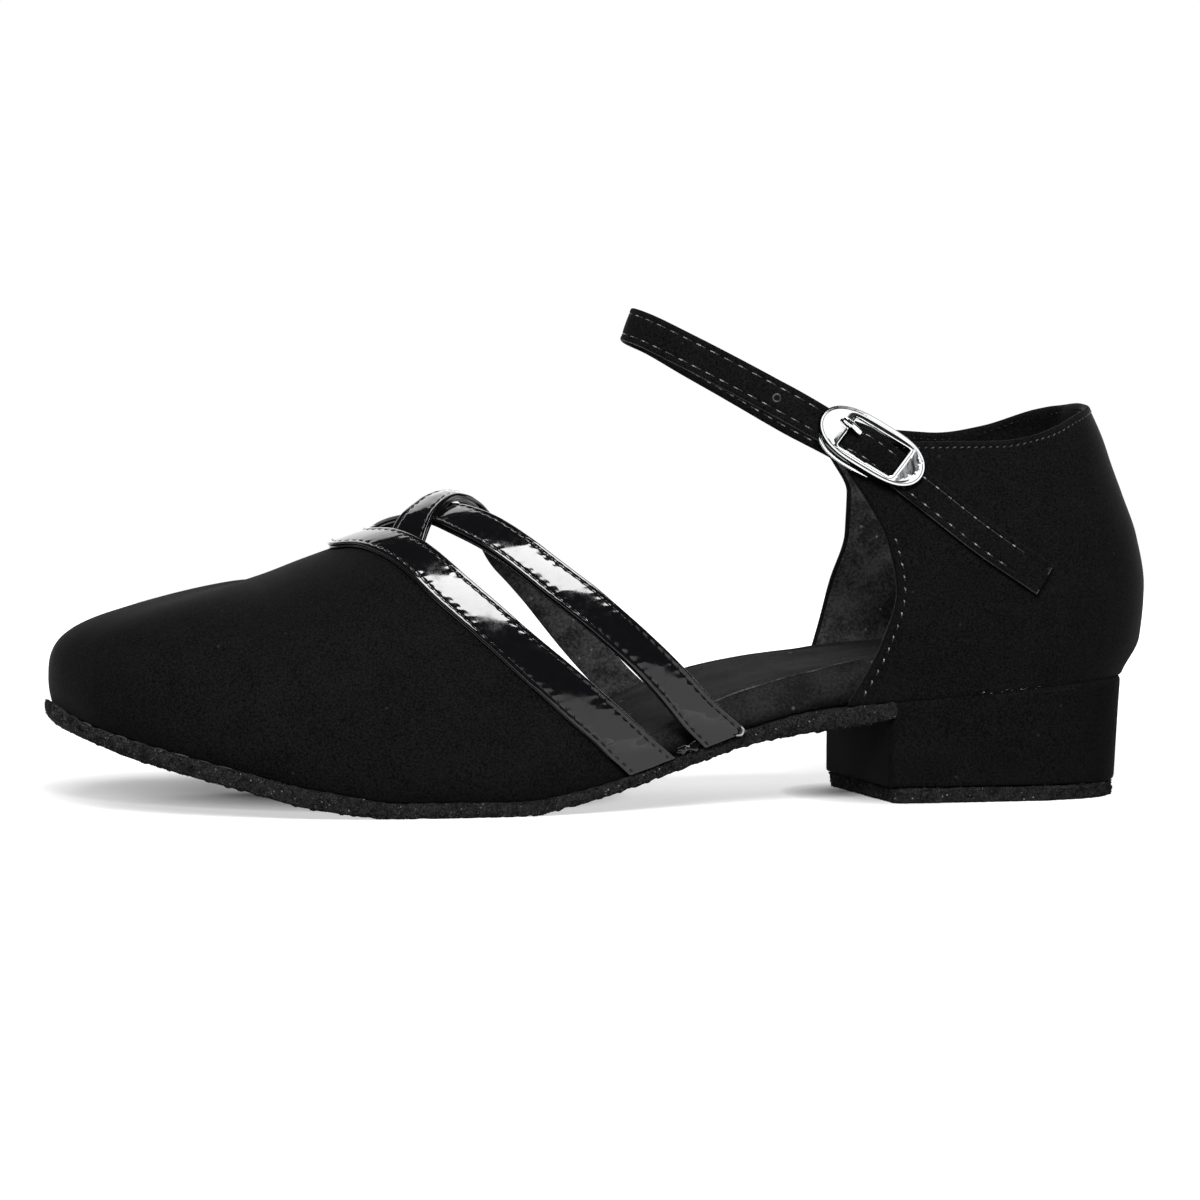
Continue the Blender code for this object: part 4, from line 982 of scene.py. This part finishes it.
def makeHeel():
    size = heelShape
    foot = heelOutline(size["half"] - size["taperSide"], size["back"] - size["taperBack"], size["breast"])
    head = heelOutline(size["half"], size["back"], size["breast"])
    middle = np.array([(size["breast"] + size["back"]) / 2, 0.0])
    base = size["topPiece"] + shoe["gap"]
    rings = []
    for share, pull in softRims([(0.0, 0.9), (0.0, 0.35), (0.012, 0.1)], np.linspace(0.04, 0.94, 30),
                                [(0.965, 0.12), (0.985, 0.4), (1.0, 0.9)]):
        plan = foot + (head - foot) * share
        plan = plan - unit(plan - middle) * pull
        z = base + (seat(plan[:, 0]) - base) * share
        rings.append(np.concatenate([plan, z[:, None]], -1))
    verts = np.array(rings)
    verts[..., :2] += unit(verts[..., :2] - middle) * (0.07 * ripple(verts, 17.0, 71))[..., None]
    # the heel in the darker nubuck copy, painted shade
    dress(loft("heel", verts, ["nubuckHeel"], sharp=60), "heel")
    half = size["half"] - size["taperSide"] + size["proud"]
    back = size["back"] - size["taperBack"] - size["topBack"]
    plan = heelOutline(half, back, size["breast"] + size["topFront"])
    rings = []
    for z, pull in softRims([(0.0, 0.5), (0.0, 0.2), (0.25, 0.0)], np.linspace(0.55, 2.75, 10),
                            [(3.05, 0.1), (3.2, 0.35), (3.22, 0.9)]):
        moved = plan - unit(plan - middle) * pull
        rings.append(np.concatenate([moved, np.full((len(plan), 1), z)], -1))
    verts = np.array(rings)
    rough = unevenness(verts, ((0.16, 0.9, 77), (0.2, 1.5, 72), (0.18, 4.2, 73)))
    verts[..., :2] += unit(verts[..., :2] - middle) * rough[..., None]
    upper = verts[1:]
    wave = 0.1 * ripple(upper, 2.4, 74) * smoothStep(upper[..., 2], 0.0, 1.0)
    upper[..., 2] = np.maximum(upper[..., 2] + wave, 0.0)
    dress(loft("topPiece", verts, ["sole"], sharp=70), "top_piece")
    draw = np.random.default_rng(75)
    count = soleShape["topFibres"]
    pick = draw.integers(0, len(plan), count)
    nearRim = draw.uniform(size=count) < 0.55
    level = np.where(nearRim, draw.normal(3.0, 0.25, count), draw.uniform(0.3, 3.0, count))
    away = np.concatenate([unit(plan[pick] - middle), np.full((count, 1), 0.25)], -1)
    roots = np.concatenate([plan[pick] - away[:, :2] * 0.1, np.clip(level, 0.2, 3.3)[:, None]], -1)
    fibres("topPieceFibres", roots, away, "fuzz", (0.2, 0.6), 76)


makeOutsole()
makeHeel()
print("outsole, heel and top piece made")

# Insole: suede over padding, soft shoulders and a low ridge along them
insoleShape = {
    "shoulder": 11.0, "dish": 0.5, "undercut": 0.6, "edgeFall": 1.2, "edgeLeast": 0.8,
    "seatLevel": 25.0, "lean": 0.4, "flare": 0.005, "ridge": 0.7, "ridgeFrom": (110.0, 135.0),
    "intoQuarter": (172.0, 184.0), "lightLineSpan": (139.0, 181.0),
}
insoleTable = tableCurves(("x", "thick", "inset", "drop", "arch"), (
    (5.0, 2.6, 5.4, 0.6, 0.0), (40.0, 4.2, 5.4, 0.8, 0.0), (100.0, 4.6, 5.0, 0.8, 0.0),
    (122.0, 5.8, 4.6, 1.2, 2.5), (136.0, 7.2, 3.9, 2.6, 2.8), (150.0, 8.2, 2.2, 4.6, 2.6),
    (164.0, 8.4, 1.9, 5.0, 1.8), (172.5, 8.8, 4.4, 3.0, 1.3), (186.0, 9.2, 3.8, 1.2, 0.8),
    (240.0, 9.2, 3.8, 1.0, 0.0),
))
shoulderFall = monotoneCurve((0.0, 0.12, 0.4, 1.0), (1.0, 0.62, 0.22, 0.0))


def makeInsole():
    size, gap, breast = insoleShape, shoe["gap"], heelShape["breast"]
    wall = quarterShape["wall"] + 2 * gap
    end = float(quarterRows["back"](size["seatLevel"])) - wall
    wide = quarterShape["widest"]
    heelEnd = wide + (end - wide) * np.sin(np.linspace(0.02, 1.0, 40) * math.pi / 2 * 0.985)
    stations = np.concatenate([np.linspace(2.43, 5.0, 40) ** 2, np.linspace(26.0, wide, 150), heelEnd])
    under, crown = np.linspace(0.0, 1.0, 9), np.linspace(0.0, 1.0, 15)
    rings = []
    for x in stations:
        thick, inset, drop, arch = (float(curve(x)) for curve in insoleTable.values())
        inQuarter = smoothStep(x, *size["intoQuarter"])
        half = float(quarterHalfWidth(x, size["seatLevel"], wall))
        left, right = (float(edgeY(insetOutline(side, 0.0, inset), min(x, shoe["soleEnd"]))) * (1 - inQuarter)
                       + sign * half * inQuarter for side, sign in (("lateral", -1), ("medial", 1)))
        low = float(soleTop(x) if x < shoe["soleEnd"] else seat(x)) + gap
        high = low + thick
        shoulder = min(size["shoulder"], (right - left) / 3)
        edge = low + max(thick - drop - size["edgeFall"], size["edgeLeast"])
        rib = size["ridge"] * float(smoothStep(x, *size["ridgeFrom"]))
        start, stop = left + size["undercut"], right - size["undercut"]
        ring = [(start + (stop - start) * share, low) for share in under]
        slopes = []
        for top in (high + arch, high):  # the medial shoulder, then the lateral one
            rows = []
            for inward in crown ** 1.5:
                level = top - drop * float(shoulderFall(inward)) + rib * float(bell(inward, 0.42, 0.07))
                level += (edge - (top - drop)) * max(1 - inward / 0.06, 0.0)
                rows.append((shoulder * inward, level))
            slopes.append(rows)
        ring += [(right - inward, level) for inward, level in slopes[0]]
        for share in crown[1:-1]:
            y = (right - shoulder) + (left + shoulder - right + shoulder) * share
            ring.append((y, high + arch - arch * share - size["dish"] * (1 - (2 * share - 1) ** 2)))
        ring += [(left + inward, level) for inward, level in slopes[1][::-1]]
        within = min(max((x - breast) / (wide - breast), 0.0), 1.0)
        behind = min(max((x - wide) / (heelShape["back"] - wide), 0.0), 1.0)
        rings.append([(x + size["lean"] * behind * (z - low), y * (1 + size["flare"] * within * (z - low)), z)
                      for y, z in ring])
    verts = np.array(rings)
    isTop = np.arange(verts.shape[1]) >= len(under)
    verts[..., 2] += np.where(isTop, 0.1, 0.0) * ripple(verts, 13.0, 81)
    piece = dress(loft("insole", verts, ["insole"]), "insole")
    # lighter line along the lateral ridge
    start, end = size["lightLineSpan"]
    line = verts[(stations > start) & (stations < end), -9]
    stitches("insoleLine", line, np.tile([0.0, -0.6, 0.8], (len(line), 1)), 1.5, "insole")


makeInsole()
print("insole made")

# Ankle strap: two layers of nubuck with a stitch row along each edge
ankleShape = {
    "width": 7.6, "thick": 1.6, "rowInset": 1.45, "pitch": 3.6, "pucker": 0.13, "hug": (158.0, 170.0),
    "buckleRow": 13, "rise": 2.6, "riseReach": 6.0, "barShift": -2.6, "holeRun": -24.6, "tailRun": 9.0,
    "swell": 0.15, "swellRun": -3.6, "swellReach": 4.2, "holeSides": 28,
}
# middle of the strap and its tilt, from the medial end round the ankle to the tail
ankleRoute = np.array((
    (196.0, 30.4, 72.8, 30.0), (186.0, 30.0, 78.4, 29.0), (176.0, 29.3, 83.4, 28.0),
    (163.0, 27.0, 90.5, 27.0), (150.0, 21.5, 97.0, 25.0), (138.4, 12.8, 102.4, 23.0),
    (131.8, 5.6, 104.7, 20.0), (130.1, 0.0, 105.4, 19.0),
    (132.0, -5.6, 104.3, 20.0), (139.0, -13.4, 100.1, 23.0), (150.0, -21.4, 93.6, 27.0),
    (158.5, -25.6, 88.6, 29.0), (167.0, -28.4, 83.6, 30.0), (178.0, -29.5, 77.4, 30.0),
    (190.0, -30.3, 68.4, 33.0), (203.0, -31.2, 58.4, 36.0), (217.0, -31.8, 49.2, 38.0),
))
# edge of the strap: distance in from the edge, height in shares of half the thickness
ankleEdge = np.array((
    (0.5, -1.0), (0.18, -0.94), (0.03, -0.72), (0.0, -0.45), (0.07, -0.2), (0.22, -0.06), (0.06, 0.08),
    (0.0, 0.34), (0.04, 0.6), (0.15, 0.82), (0.36, 0.95), (0.65, 1.0), (0.95, 0.98), (1.2, 0.9),
    (1.45, 0.84), (1.7, 0.9), (1.95, 0.97), (2.4, 1.0), (3.0, 1.03),
))
# punched hole: radius and height of its rings, from the middle outwards and under
holeRows = np.array((
    (0.05, 0.02), (0.5, 0.02), (0.62, 0.04), (0.72, 0.13), (0.86, 0.16), (1.0, 0.08), (1.05, -0.1),
    (0.6, -0.2),
))


def onQuarter(spots):
    start, full = ankleShape["hug"]
    weight = np.clip((spots[..., 0] - start) / (full - start), 0.0, 1.0)
    clear = quarterHalfWidth(spots[..., 0], spots[..., 2]) + shoe["gap"] + ankleShape["thick"] / 2
    moved = spots.copy()
    moved[..., 1] += (np.copysign(clear, spots[..., 1]) - spots[..., 1]) * weight
    return moved


def ankleFrames(steps):
    run = runOf(ankleRoute[:, :3])
    away = np.linspace(0.0, run[-1], steps) - run[ankleShape["buckleRow"]]
    samples = smoothRoute(ankleRoute, steps)
    points, tilt = samples[:, :3], np.radians(samples[:, 3])
    ahead = unit(np.gradient(points, axis=0))
    width = np.stack([np.sin(tilt), 0 * tilt, np.cos(tilt)], -1)
    outward = unit(np.cross(ahead, width))
    width = unit(np.cross(outward, ahead))
    past = np.clip((away - ankleShape["barShift"]) / ankleShape["riseReach"], -1, 1)
    return away, points, outward, width, ankleShape["rise"] * np.cos(past * math.pi / 2) ** 2


def ankleSurface(frames, across, height):
    _, points, outward, width, rise = frames
    lanes = onQuarter(points[:, None] + width[:, None] * across[..., None])
    return lanes + outward[:, None] * (rise[:, None] + height)[..., None]


def makeAnkleStrap():
    size, slot = ankleShape, "nubuck_black"
    frames = ankleFrames(760)
    away, points, outward, width, rise = frames
    rows = len(away)
    half, thick = size["width"] / 2, size["thick"] / 2
    inset, level = ankleEdge.T
    across = np.concatenate([-half + inset, [0.0], (half - inset)[::-1], [1.5, -1.5]])
    share = np.concatenate([level, [1.03], level[::-1], [-1.0, -1.0]])
    edge = np.concatenate([inset, [half], inset[::-1], [half, half]])
    dent = np.where(share > 0.5, size["pucker"], 0.0) * bell(edge, size["rowInset"], 0.4)
    height = share[None, :] * thick - stitchWave(away, size["pitch"])[:, None] * dent[None, :]
    swell = size["swell"] * bell(away, size["swellRun"], size["swellReach"])
    fuller = 1 + swell[:, None]  # shifted up in the buckle's window
    verts = ankleSurface(frames, across * np.where(across > 0, fuller, 2.0 - fuller), height)
    verts = verts + outward[:, None] * (0.04 * ripple(verts, 9.0, 91))[..., None]
    # the lower edge and the tail's end in the pale edge grey, a painted highlight
    lookRow = np.where((share > 0.2) & (edge < 0.2) & (across < 0), 1, 0)
    looks = np.concatenate([np.tile(np.minimum(lookRow, np.roll(lookRow, -1)), rows - 1), [0, 1]])
    dress(loft("ankleStrap", verts, ["nubuck", "edge"], looks), "ankle_strap")
    split = int(np.argmin(np.abs(away - size["tailRun"])))
    inner = slice(8, -8)
    for tag, lane in (("Low", -half + size["rowInset"]), ("High", half - size["rowInset"])):
        for face, level, sign in (("Out", thick - 0.12, 1.0), ("In", -thick, -1.0)):
            line = ankleSurface(frames, np.full((rows, 1), lane), np.full((rows, 1), level))[inner, 0]
            up = outward[inner] * sign
            stitches("ankleStitch" + tag + face, line, up, size["pitch"], "ankle")
            # pale beads over the stitches, painted glints
            for part, reach in (("Loop", slice(0, split)), ("Tail", slice(split, None))):
                name = "ankleGlint" + tag + face + part
                stitches(name, line[reach], up[reach], size["pitch"], "ankle" + part)
    # painted highlight: light lines at the corners of the tail's end
    for tag, start, end in (("Low", -half, -1.6), ("High", 1.3, half)):
        lanes = np.linspace(start, end, 40)[None, :]
        line = ankleSurface([item[-2:-1] for item in frames], lanes, np.full((1, 40), thick))[0]
        stitches("ankleTailEdge" + tag, line, np.tile(outward[-2], (40, 1)), 0.6, "tailEdge")
    k = int(np.argmin(np.abs(away - size["holeRun"])))
    radius, level = holeRows.T
    spine = points[k] + outward[k] * (thick + rise[k] + level)[:, None]
    sides = size["holeSides"]
    verts = roundRings(spine, width[k], np.cross(outward[k], width[k]), radius[:, None], sides)
    # the hole's middle is a dark disk, painted shade; its lip is in the grey thread finish
    looks = [0] * 2 * sides + [1] * (len(holeRows) - 3) * sides + [0, 1]
    dress(loft("ankleHole", verts, ["threadDark", "thread"], looks), None)


makeAnkleStrap()
print("ankle strap made")

# Buckle: chrome frame, raised border round its window, brushed end plate, a wire behind it, bar and prong
buckleShape = {
    "middle": (-1.45, 0.45), "half": (13.15, 5.85), "power": (3.0, 3.4), "thick": 1.7, "steps": 320,
    "windowMiddle": (-1.0, 0.4), "window": (6.9, 3.8), "slant": 0.15, "corner": 0.6,
    "spot": (178.03, -29.04, 77.58),
    "turn": ((0.8575, -0.0678, -0.51), (0.5144, 0.1161, 0.8496), (0.0016, -0.9909, 0.1344)),
    "barRadius": 0.7, "barShift": -2.6, "prongRadius": 0.72, "wireRadius": 0.45, "wireDrop": 0.7,
    "border": 0.75, "barEnds": (-4.4, 3.6), "plainHalf": 3.6,
}
prongRows = (
    (-4.6, 1.1, 1.2), (-5.2, 1.25, 3.0), (-6.2, 1.4, 4.0), (-7.8, 1.75, 4.25), (-9.2, 2.0, 4.1),
    (-10.2, 2.2, 3.9),
)
wireRows = (
    (-12.6, -2.4), (-12.3, -3.3), (-11.6, -4.2), (-10.2, -5.1), (-8.0, -5.7), (-5.7, -5.95), (-3.4, -5.95),
    (-1.0, -5.9), (1.1, -5.85),
)
# rings of the rim and of the window's wall: inset or growth, height in shares of half the thickness, look (2
# is the dark chrome, a painted dark reflection)
rimRows = (
    (0.25, -1.0, 2), (0.05, -0.8, 2), (0.0, -0.4, 2), (0.0, 0.5, 2), (0.17, 0.85, 2), (0.24, 0.96, 0),
    (0.6, 0.97, 2), (0.66, 0.7, 2), (0.74, 0.93, 0),
)
windowRows = (
    (0.68, 0.72, 2), (0.6, 0.95, 0), (0.45, 1.02, 0), (0.2, 1.02, 0), (0.06, 0.9, 2), (0.0, 0.55, 2),
    (0.0, -0.6, 2), (0.1, -0.95, 2),
)
frameLevel = ankleShape["thick"] / 2 + shoe["gap"] + buckleShape["thick"] / 2


def fromBuckle(points):
    return np.array(buckleShape["spot"]) + np.asarray(points, float) @ np.array(buckleShape["turn"])


def frameLoop(inset):
    # outline of the frame, squarer at its right end
    size = buckleShape
    angle = np.linspace(0.0, 2 * math.pi, 1441)[:-1]
    out = np.cos(angle)
    power = np.where(out < 0, size["power"][0], size["power"][1])
    x = np.sign(out) * np.abs(out) ** (2 / power) * (size["half"][0] - inset)
    loop = np.stack([x, np.sin(angle) * (size["half"][1] - inset)], -1)
    return evenLoop(loop, size["steps"]) + np.array(size["middle"])


def windowLoop(grow):
    # outline of the window, grown outwards
    size = buckleShape
    wide, tall, corner = size["window"][0] + grow, size["window"][1] + grow, size["corner"] + grow
    points = [(wide, 0.0)]
    for turn, (xSide, ySide) in enumerate(((1, 1), (-1, 1), (-1, -1), (1, -1))):
        for angle in np.linspace(turn, turn + 1, 9) * math.pi / 2:
            x = xSide * (wide - corner) + corner * math.cos(angle)
            points.append((x, ySide * (tall - corner) + corner * math.sin(angle)))
    loop = evenLoop(np.array(points), size["steps"])
    loop[:, 0] += size["slant"] * loop[:, 1]
    return loop + np.array(size["windowMiddle"])


def tube(name, route, radii, sides=14, notch=0.0):
    # round wire through points in the buckle's directions; a notch runs along its outer side
    route = np.asarray(route, float)
    ahead = unit(np.gradient(route, axis=0))
    side = unit(np.cross(ahead, np.array([0.13, 1.0, 0.21])))
    angle = circle(sides)
    radii = np.asarray(radii, float)[:, None] * (1 - notch * bell(angle, math.pi, 0.3))
    verts = fromBuckle(roundRings(route, side, np.cross(side, ahead), radii, sides))
    # away from its outer side a notched wire gets the dark chrome, painted shade
    shade = np.abs(angle + math.pi / sides - math.pi)
    looks = np.where((shade > 2.2) & (notch > 0), 1, 0)
    looks = np.concatenate([np.tile(looks, len(route) - 1), [0, 0]])
    return loft(name, verts, ["chrome", "chromeDark"], looks, sharp=70)


def makeBuckle():
    size = buckleShape
    half = size["thick"] / 2
    # plan, height and look of each ring from the outer wall over the plate to the window's wall
    rings = [(frameLoop(inset), z, look) for inset, z, look in rimRows]
    outer, inner = frameLoop(rimRows[-1][0]), windowLoop(size["border"])
    shares = np.linspace(0.0, 1.0, 11)
    for share in shares[1:]:
        plan = outer + (inner - outer) * share
        rings.append((plan, 0.95 - 0.06 * math.sin(math.pi * share), 0 if share < 1 else 2))
    rings += [(windowLoop(grow), z, look) for grow, z, look in windowRows]
    verts = np.array([np.concatenate([plan, np.full((len(plan), 1), z * half)], -1) for plan, z, _ in rings])
    rows, columns = verts.shape[:2]
    # no groove along the upper side, and none of its painted dark reflection
    groove = len(rimRows) - 2
    calm = smoothStep(verts[groove, :, 1], 1.5, 3.5) * smoothStep(verts[groove, :, 0], -8.0, -5.0)
    verts[groove, :, 2] += 0.25 * half * calm
    # brushed facet beside the window, with an uneven limit towards the rim
    plate = slice(groove + 1, groove + 1 + len(shares))
    x, y = verts[plate, :, 0], verts[plate, :, 1]
    limit = 0.14 + 0.26 * smoothStep(-y, -1.5, 2.5) + 0.06 * np.sin(y * 4.1) + 0.03 * np.sin(y * 9.7)
    brushed = np.zeros((rows, columns), bool)
    brushed[plate] = (x > size["window"][0] + size["slant"] * y) & (shares[:, None] > limit)
    first = np.arange(columns)
    last = first + (rows - 1) * columns
    faces = gridFaces(rows, columns, True)
    faces += np.stack([last, np.roll(last, -1), np.roll(first, -1), first], -1).tolist()
    looks = np.where(brushed[:-1] & brushed[1:], 1, np.array([look for _, _, look in rings])[:-1, None])
    looks[groove - 1:groove + 1] = np.where(calm > 0.5, 0, looks[groove - 1:groove + 1])
    # the plate's left part has no painted dark reflection beside the window
    row = np.arange(rows - 1)[:, None]
    centreX, centreY = size["windowMiddle"]
    plain = verts[:-1, :, 0] < centreX - size["window"][0]
    plain = plain & (np.abs(verts[:-1, :, 1] - centreY) < size["plainHalf"])
    plain = plain & (row > plate.stop - 3) & (row < plate.stop + 2)
    looks = np.concatenate([np.where(plain, 0, looks).reshape(-1), np.full(columns, 2)])
    world = fromBuckle(verts + np.array([0.0, 0.0, frameLevel]))
    piece = addPiece("buckleFrame", world, faces, ["chrome", "brushed", "chromeDark"], looks, sharp=28)
    dress(outwards(piece), "buckle_frame")
    barLevel = ankleShape["rise"] - ankleShape["thick"] / 2 - shoe["gap"] - size["barRadius"]
    route = [(size["barShift"], y, barLevel) for y in np.linspace(*size["barEnds"], 9)]
    dress(tube("buckleBar", route, [size["barRadius"]] * len(route)), None)
    route = smoothRoute([(x, y, frameLevel - size["wireDrop"]) for x, y in wireRows], 70)
    radii = size["wireRadius"] * np.interp(np.arange(70), [0, 4, 52, 69], [0.6, 1.0, 1.0, 0.2])
    dress(tube("buckleWire", route, radii), None)
    radii = size["prongRadius"] * np.interp(np.arange(50), [0, 38, 44, 47, 49], [1.0, 1.0, 0.92, 0.75, 0.4])
    dress(tube("buckleProng", smoothRoute(prongRows, 50), radii, 32, 0.12), "buckle_prong")


makeBuckle()
print("buckle made")

# Trims: a crumpled tuck and a pale curl at the strap ends, a painted glint; loose thread at the seat painted
# pale as glints; a painted highlight line on the sole
trimShape = {
    "tuckFrom": 131.6, "tuckLength": 7.2, "tuckLeast": 0.15, "tuckFull": 1.1, "crumple": 0.32,
    "curlRadius": 0.2, "threads": 12, "threadSpan": (203.0, 217.0),
    "lineSpan": (1.44, 42.25), "linePitch": 5.1,
}
curlRows = ((146.5, -34.6, 18.2), (146.95, -35.1, 17.4), (146.5, -35.3, 16.45), (145.3, -35.2, 16.25))


def makeTrims():
    size, steps, sides = trimShape, 40, 24
    part = np.linspace(0.0, 1.0, steps)
    x = size["tuckFrom"] + size["tuckLength"] * part
    spine = np.stack([x, edgeY(feather["lateral"], x) - 0.5, soleTop(x) + 1.2 + 0.3 * np.sin(9 * part)], -1)
    side, up = np.array([0.0, 1.0, 0.0]), np.array([0.0, 0.0, 1.0])
    wide = (size["tuckLeast"] + size["tuckFull"] * np.sqrt(np.sin(math.pi * part)))[:, None]
    verts = roundRings(spine, side, up, wide, sides)
    crumple = size["crumple"] * ripple(verts * np.array([1.0, 1.0, 1.5]), 2.4, 95)
    verts = roundRings(spine, side, up, wide + crumple, sides)
    dress(loft("strapTuck", verts, ["patent"]), None)
    # a pale curl at the strap end: a painted glint on the patent fold
    spine = smoothRoute(curlRows, steps)
    ahead = unit(np.gradient(spine, axis=0))
    side = unit(np.cross(ahead, side))
    verts = roundRings(spine, side, np.cross(side, ahead), np.array([[size["curlRadius"]]]), sides)
    dress(loft("strapCurl", verts, ["paintedGlint"]), None)
    # loose thread at the seat, painted pale as glints
    draw = np.random.default_rng(97)
    count = size["threads"]
    x = draw.uniform(*size["threadSpan"], count)
    y = -quarterHalfWidth(x, quarterShape["seatLevel"]) - 0.05
    roots = np.stack([x, y, seat(x) + draw.uniform(0.0, 0.3, count)], -1)
    away = np.tile([1.0, -0.5, 0.1], (count, 1))
    fibres("seatThread", roots, away, "paintedGlint", (0.5, 1.4), 98)
    # a painted highlight line along the sole's lateral top edge
    x = np.linspace(*np.sqrt(size["lineSpan"]), 200) ** 2
    line = np.stack([x, sole["lateral"](x) + 0.3, soleTop(x) + 0.02], -1)
    up = np.tile([0.0, -0.5, 0.86], (200, 1))
    stitches("soleEdgeHighlight", line, up, size["linePitch"], "soleEdge")


makeTrims()
print("trims made")

# Stage: pale floor with painted shadows, a bright panel that only the gloss sees, soft light from above, a
# card, a white backdrop
lamps = {
    "panel": {"centre": (0.165, -0.34, 1.0), "aim": (0.165, -0.34, 0.0), "size": (0.36, 0.56),
              "turn": 26.0, "radiance": 20.0},
    "soft": {"centre": (-0.26, -1.13, 0.71), "aim": (0.0, 0.0, 0.02), "size": (0.5, 0.42),
             "turn": 0.0, "radiance": 45.0},
    "rimBack": {"centre": (0.9, 0.95, 1.0), "aim": (0.0, 0.0, 0.05), "size": (0.8, 1.2),
                "turn": 0.0, "radiance": 4.0},
}
lightSet = {
    "card": {"azimuth": 32.0, "distance": 1.1, "width": 1.16, "top": 0.40, "radiance": 1.2},
    "backdrop": {"y": 0.9, "top": 0.95, "radiance": 1.25},
    "floor": {"front": -0.75, "back": 0.9, "half": 1.6, "albedo": 0.6, "far": 0.6,
              # centre, reach and turn of each painted shadow oval on the floor
              "shadowOvals": (((-0.055, 0.0415), (0.057, 0.076), 37.0), ((0.064, 0.0), (0.022, 0.035), 0.0))},
    "room": {"gloss": 0.03, "diffuse": 0.2, "seen": 1.02},
}


def areaLight(name, centre, target, size, radiance, roll=0.0):
    data = bpy.data.lights.new(name, "AREA")
    data.shape, data.size, data.size_y = "RECTANGLE", size[0], size[1]
    data.energy = radiance * math.pi * size[0] * size[1]
    light = addObject(name, data)
    aim(light, centre, target, roll)
    light.visible_camera = False
    return light


def stagePlane(name, corners, material):
    mesh = bpy.data.meshes.new(name)
    mesh.from_pydata(corners, [], [(0, 1, 2, 3)])
    mesh.materials.append(material)
    plane = addObject(name, mesh)
    return plane


def softSpot(tree, centre, reach, turn=0.0):
    # 1 in the middle of an oval on the floor, falling to 0 at its edge
    spot = addNode(tree, "TexCoord").outputs["Object"]
    rotation = (0.0, 0.0, math.radians(turn))
    oval = addNode(tree, "Mapping", [("vector_type", "TEXTURE")], Vector=spot, Location=(*centre, 0.0),
                   Rotation=rotation, Scale=(*reach, 1.0)).outputs["Vector"]
    return addNode(tree, "TexGradient", [("gradient_type", "SPHERICAL")], Vector=oval).outputs["Fac"]


def makeRoom():
    # white behind the shoe, dark in the gloss, a little light from all round
    room = lightSet["room"]
    world = bpy.data.worlds.new("room")
    bpy.context.scene.world = world
    world.use_nodes = True
    tree = world.node_tree
    path = addNode(tree, "LightPath")
    shader = tree.nodes["Background"]
    shader.inputs["Color"].default_value = (room["diffuse"],) * 3 + (1.0,)
    for ray, level in (("Is Glossy Ray", room["gloss"]), ("Is Camera Ray", room["seen"])):
        other = addNode(tree, "Background", Color=(1.0,) * 4, Strength=level)
        mix = addNode(tree, "MixShader", Fac=path.outputs[ray])
        tree.links.new(shader.outputs[0], mix.inputs[1])
        tree.links.new(other.outputs[0], mix.inputs[2])
        shader = mix
    tree.links.new(shader.outputs[0], tree.nodes["World Output"].inputs["Surface"])


def makeStage():
    for name, lamp in lamps.items():
        roll = math.radians(lamp["turn"])
        light = areaLight(name, lamp["centre"], lamp["aim"], lamp["size"], lamp["radiance"], roll)
        light.visible_diffuse = name == "soft"
        light.visible_glossy = name != "soft"
    card, backdrop, floor = (lightSet[name] for name in ("card", "backdrop", "floor"))
    a = math.radians(card["azimuth"])
    x, y = math.sin(a) * card["distance"], -math.cos(a) * card["distance"]
    level = card["top"] / 2
    areaLight("card", (x, y, level), (0.0, 0.0, level), (card["width"], card["top"]), card["radiance"])
    paper, tree, shader = newFinish("paperFloor", Roughness=0.8)
    pale = floor["albedo"]
    tone = ramp(tree, noiseNode(tree, 40.0, 2.0), ((0.3, pale - 0.005), (0.7, pale + 0.005)))
    tree.links.new(tone, shader.inputs["Base Color"])
    # painted light and shade: the floor glows white far from the shoe, dimmer towards it, and is dimmed
    # further by painted shadow ovals under the toe and before the heel
    paintedGlowFar = ramp(tree, softSpot(tree, (0.0, 0.0), (floor["far"],) * 2), ((0.0, 1.0), (0.5, 0.76), (0.8, 0.59)))
    shadowNearness = mathNode(tree, "MAXIMUM", *(softSpot(tree, *oval) for oval in floor["shadowOvals"]))
    paintedShadowDim = ramp(tree, shadowNearness, ((0.0, 1.0), (0.07, 0.76), (0.14, 0.66), (0.3, 0.42), (0.6, 0.08)))
    tree.links.new(mathNode(tree, "MULTIPLY", paintedGlowFar, paintedShadowDim), shader.inputs["Emission Color"])
    glow, _, shine = newFinish("backdropGlow")
    shine.inputs["Emission Color"].default_value = (1.0, 1.0, 1.0, 1.0)
    for surface, strength in ((shader, 1.0), (shine, backdrop["radiance"])):
        surface.inputs["Emission Strength"].default_value = strength
    wide, front, back = floor["half"], floor["front"], floor["back"]
    flat = [(-wide, front, 0), (wide, front, 0), (wide, back, 0), (-wide, back, 0)]
    stagePlane("floor", flat, paper).visible_diffuse = False
    y, top = backdrop["y"], backdrop["top"]
    screen = stagePlane("backdrop", [(-wide, y, 0), (wide, y, 0), (wide, y, top), (-wide, y, top)], glow)
    screen.visible_camera = screen.visible_diffuse = False
    makeRoom()
    bpy.context.scene.view_settings.view_transform = "Standard"


makeStage()
print("stage lit")
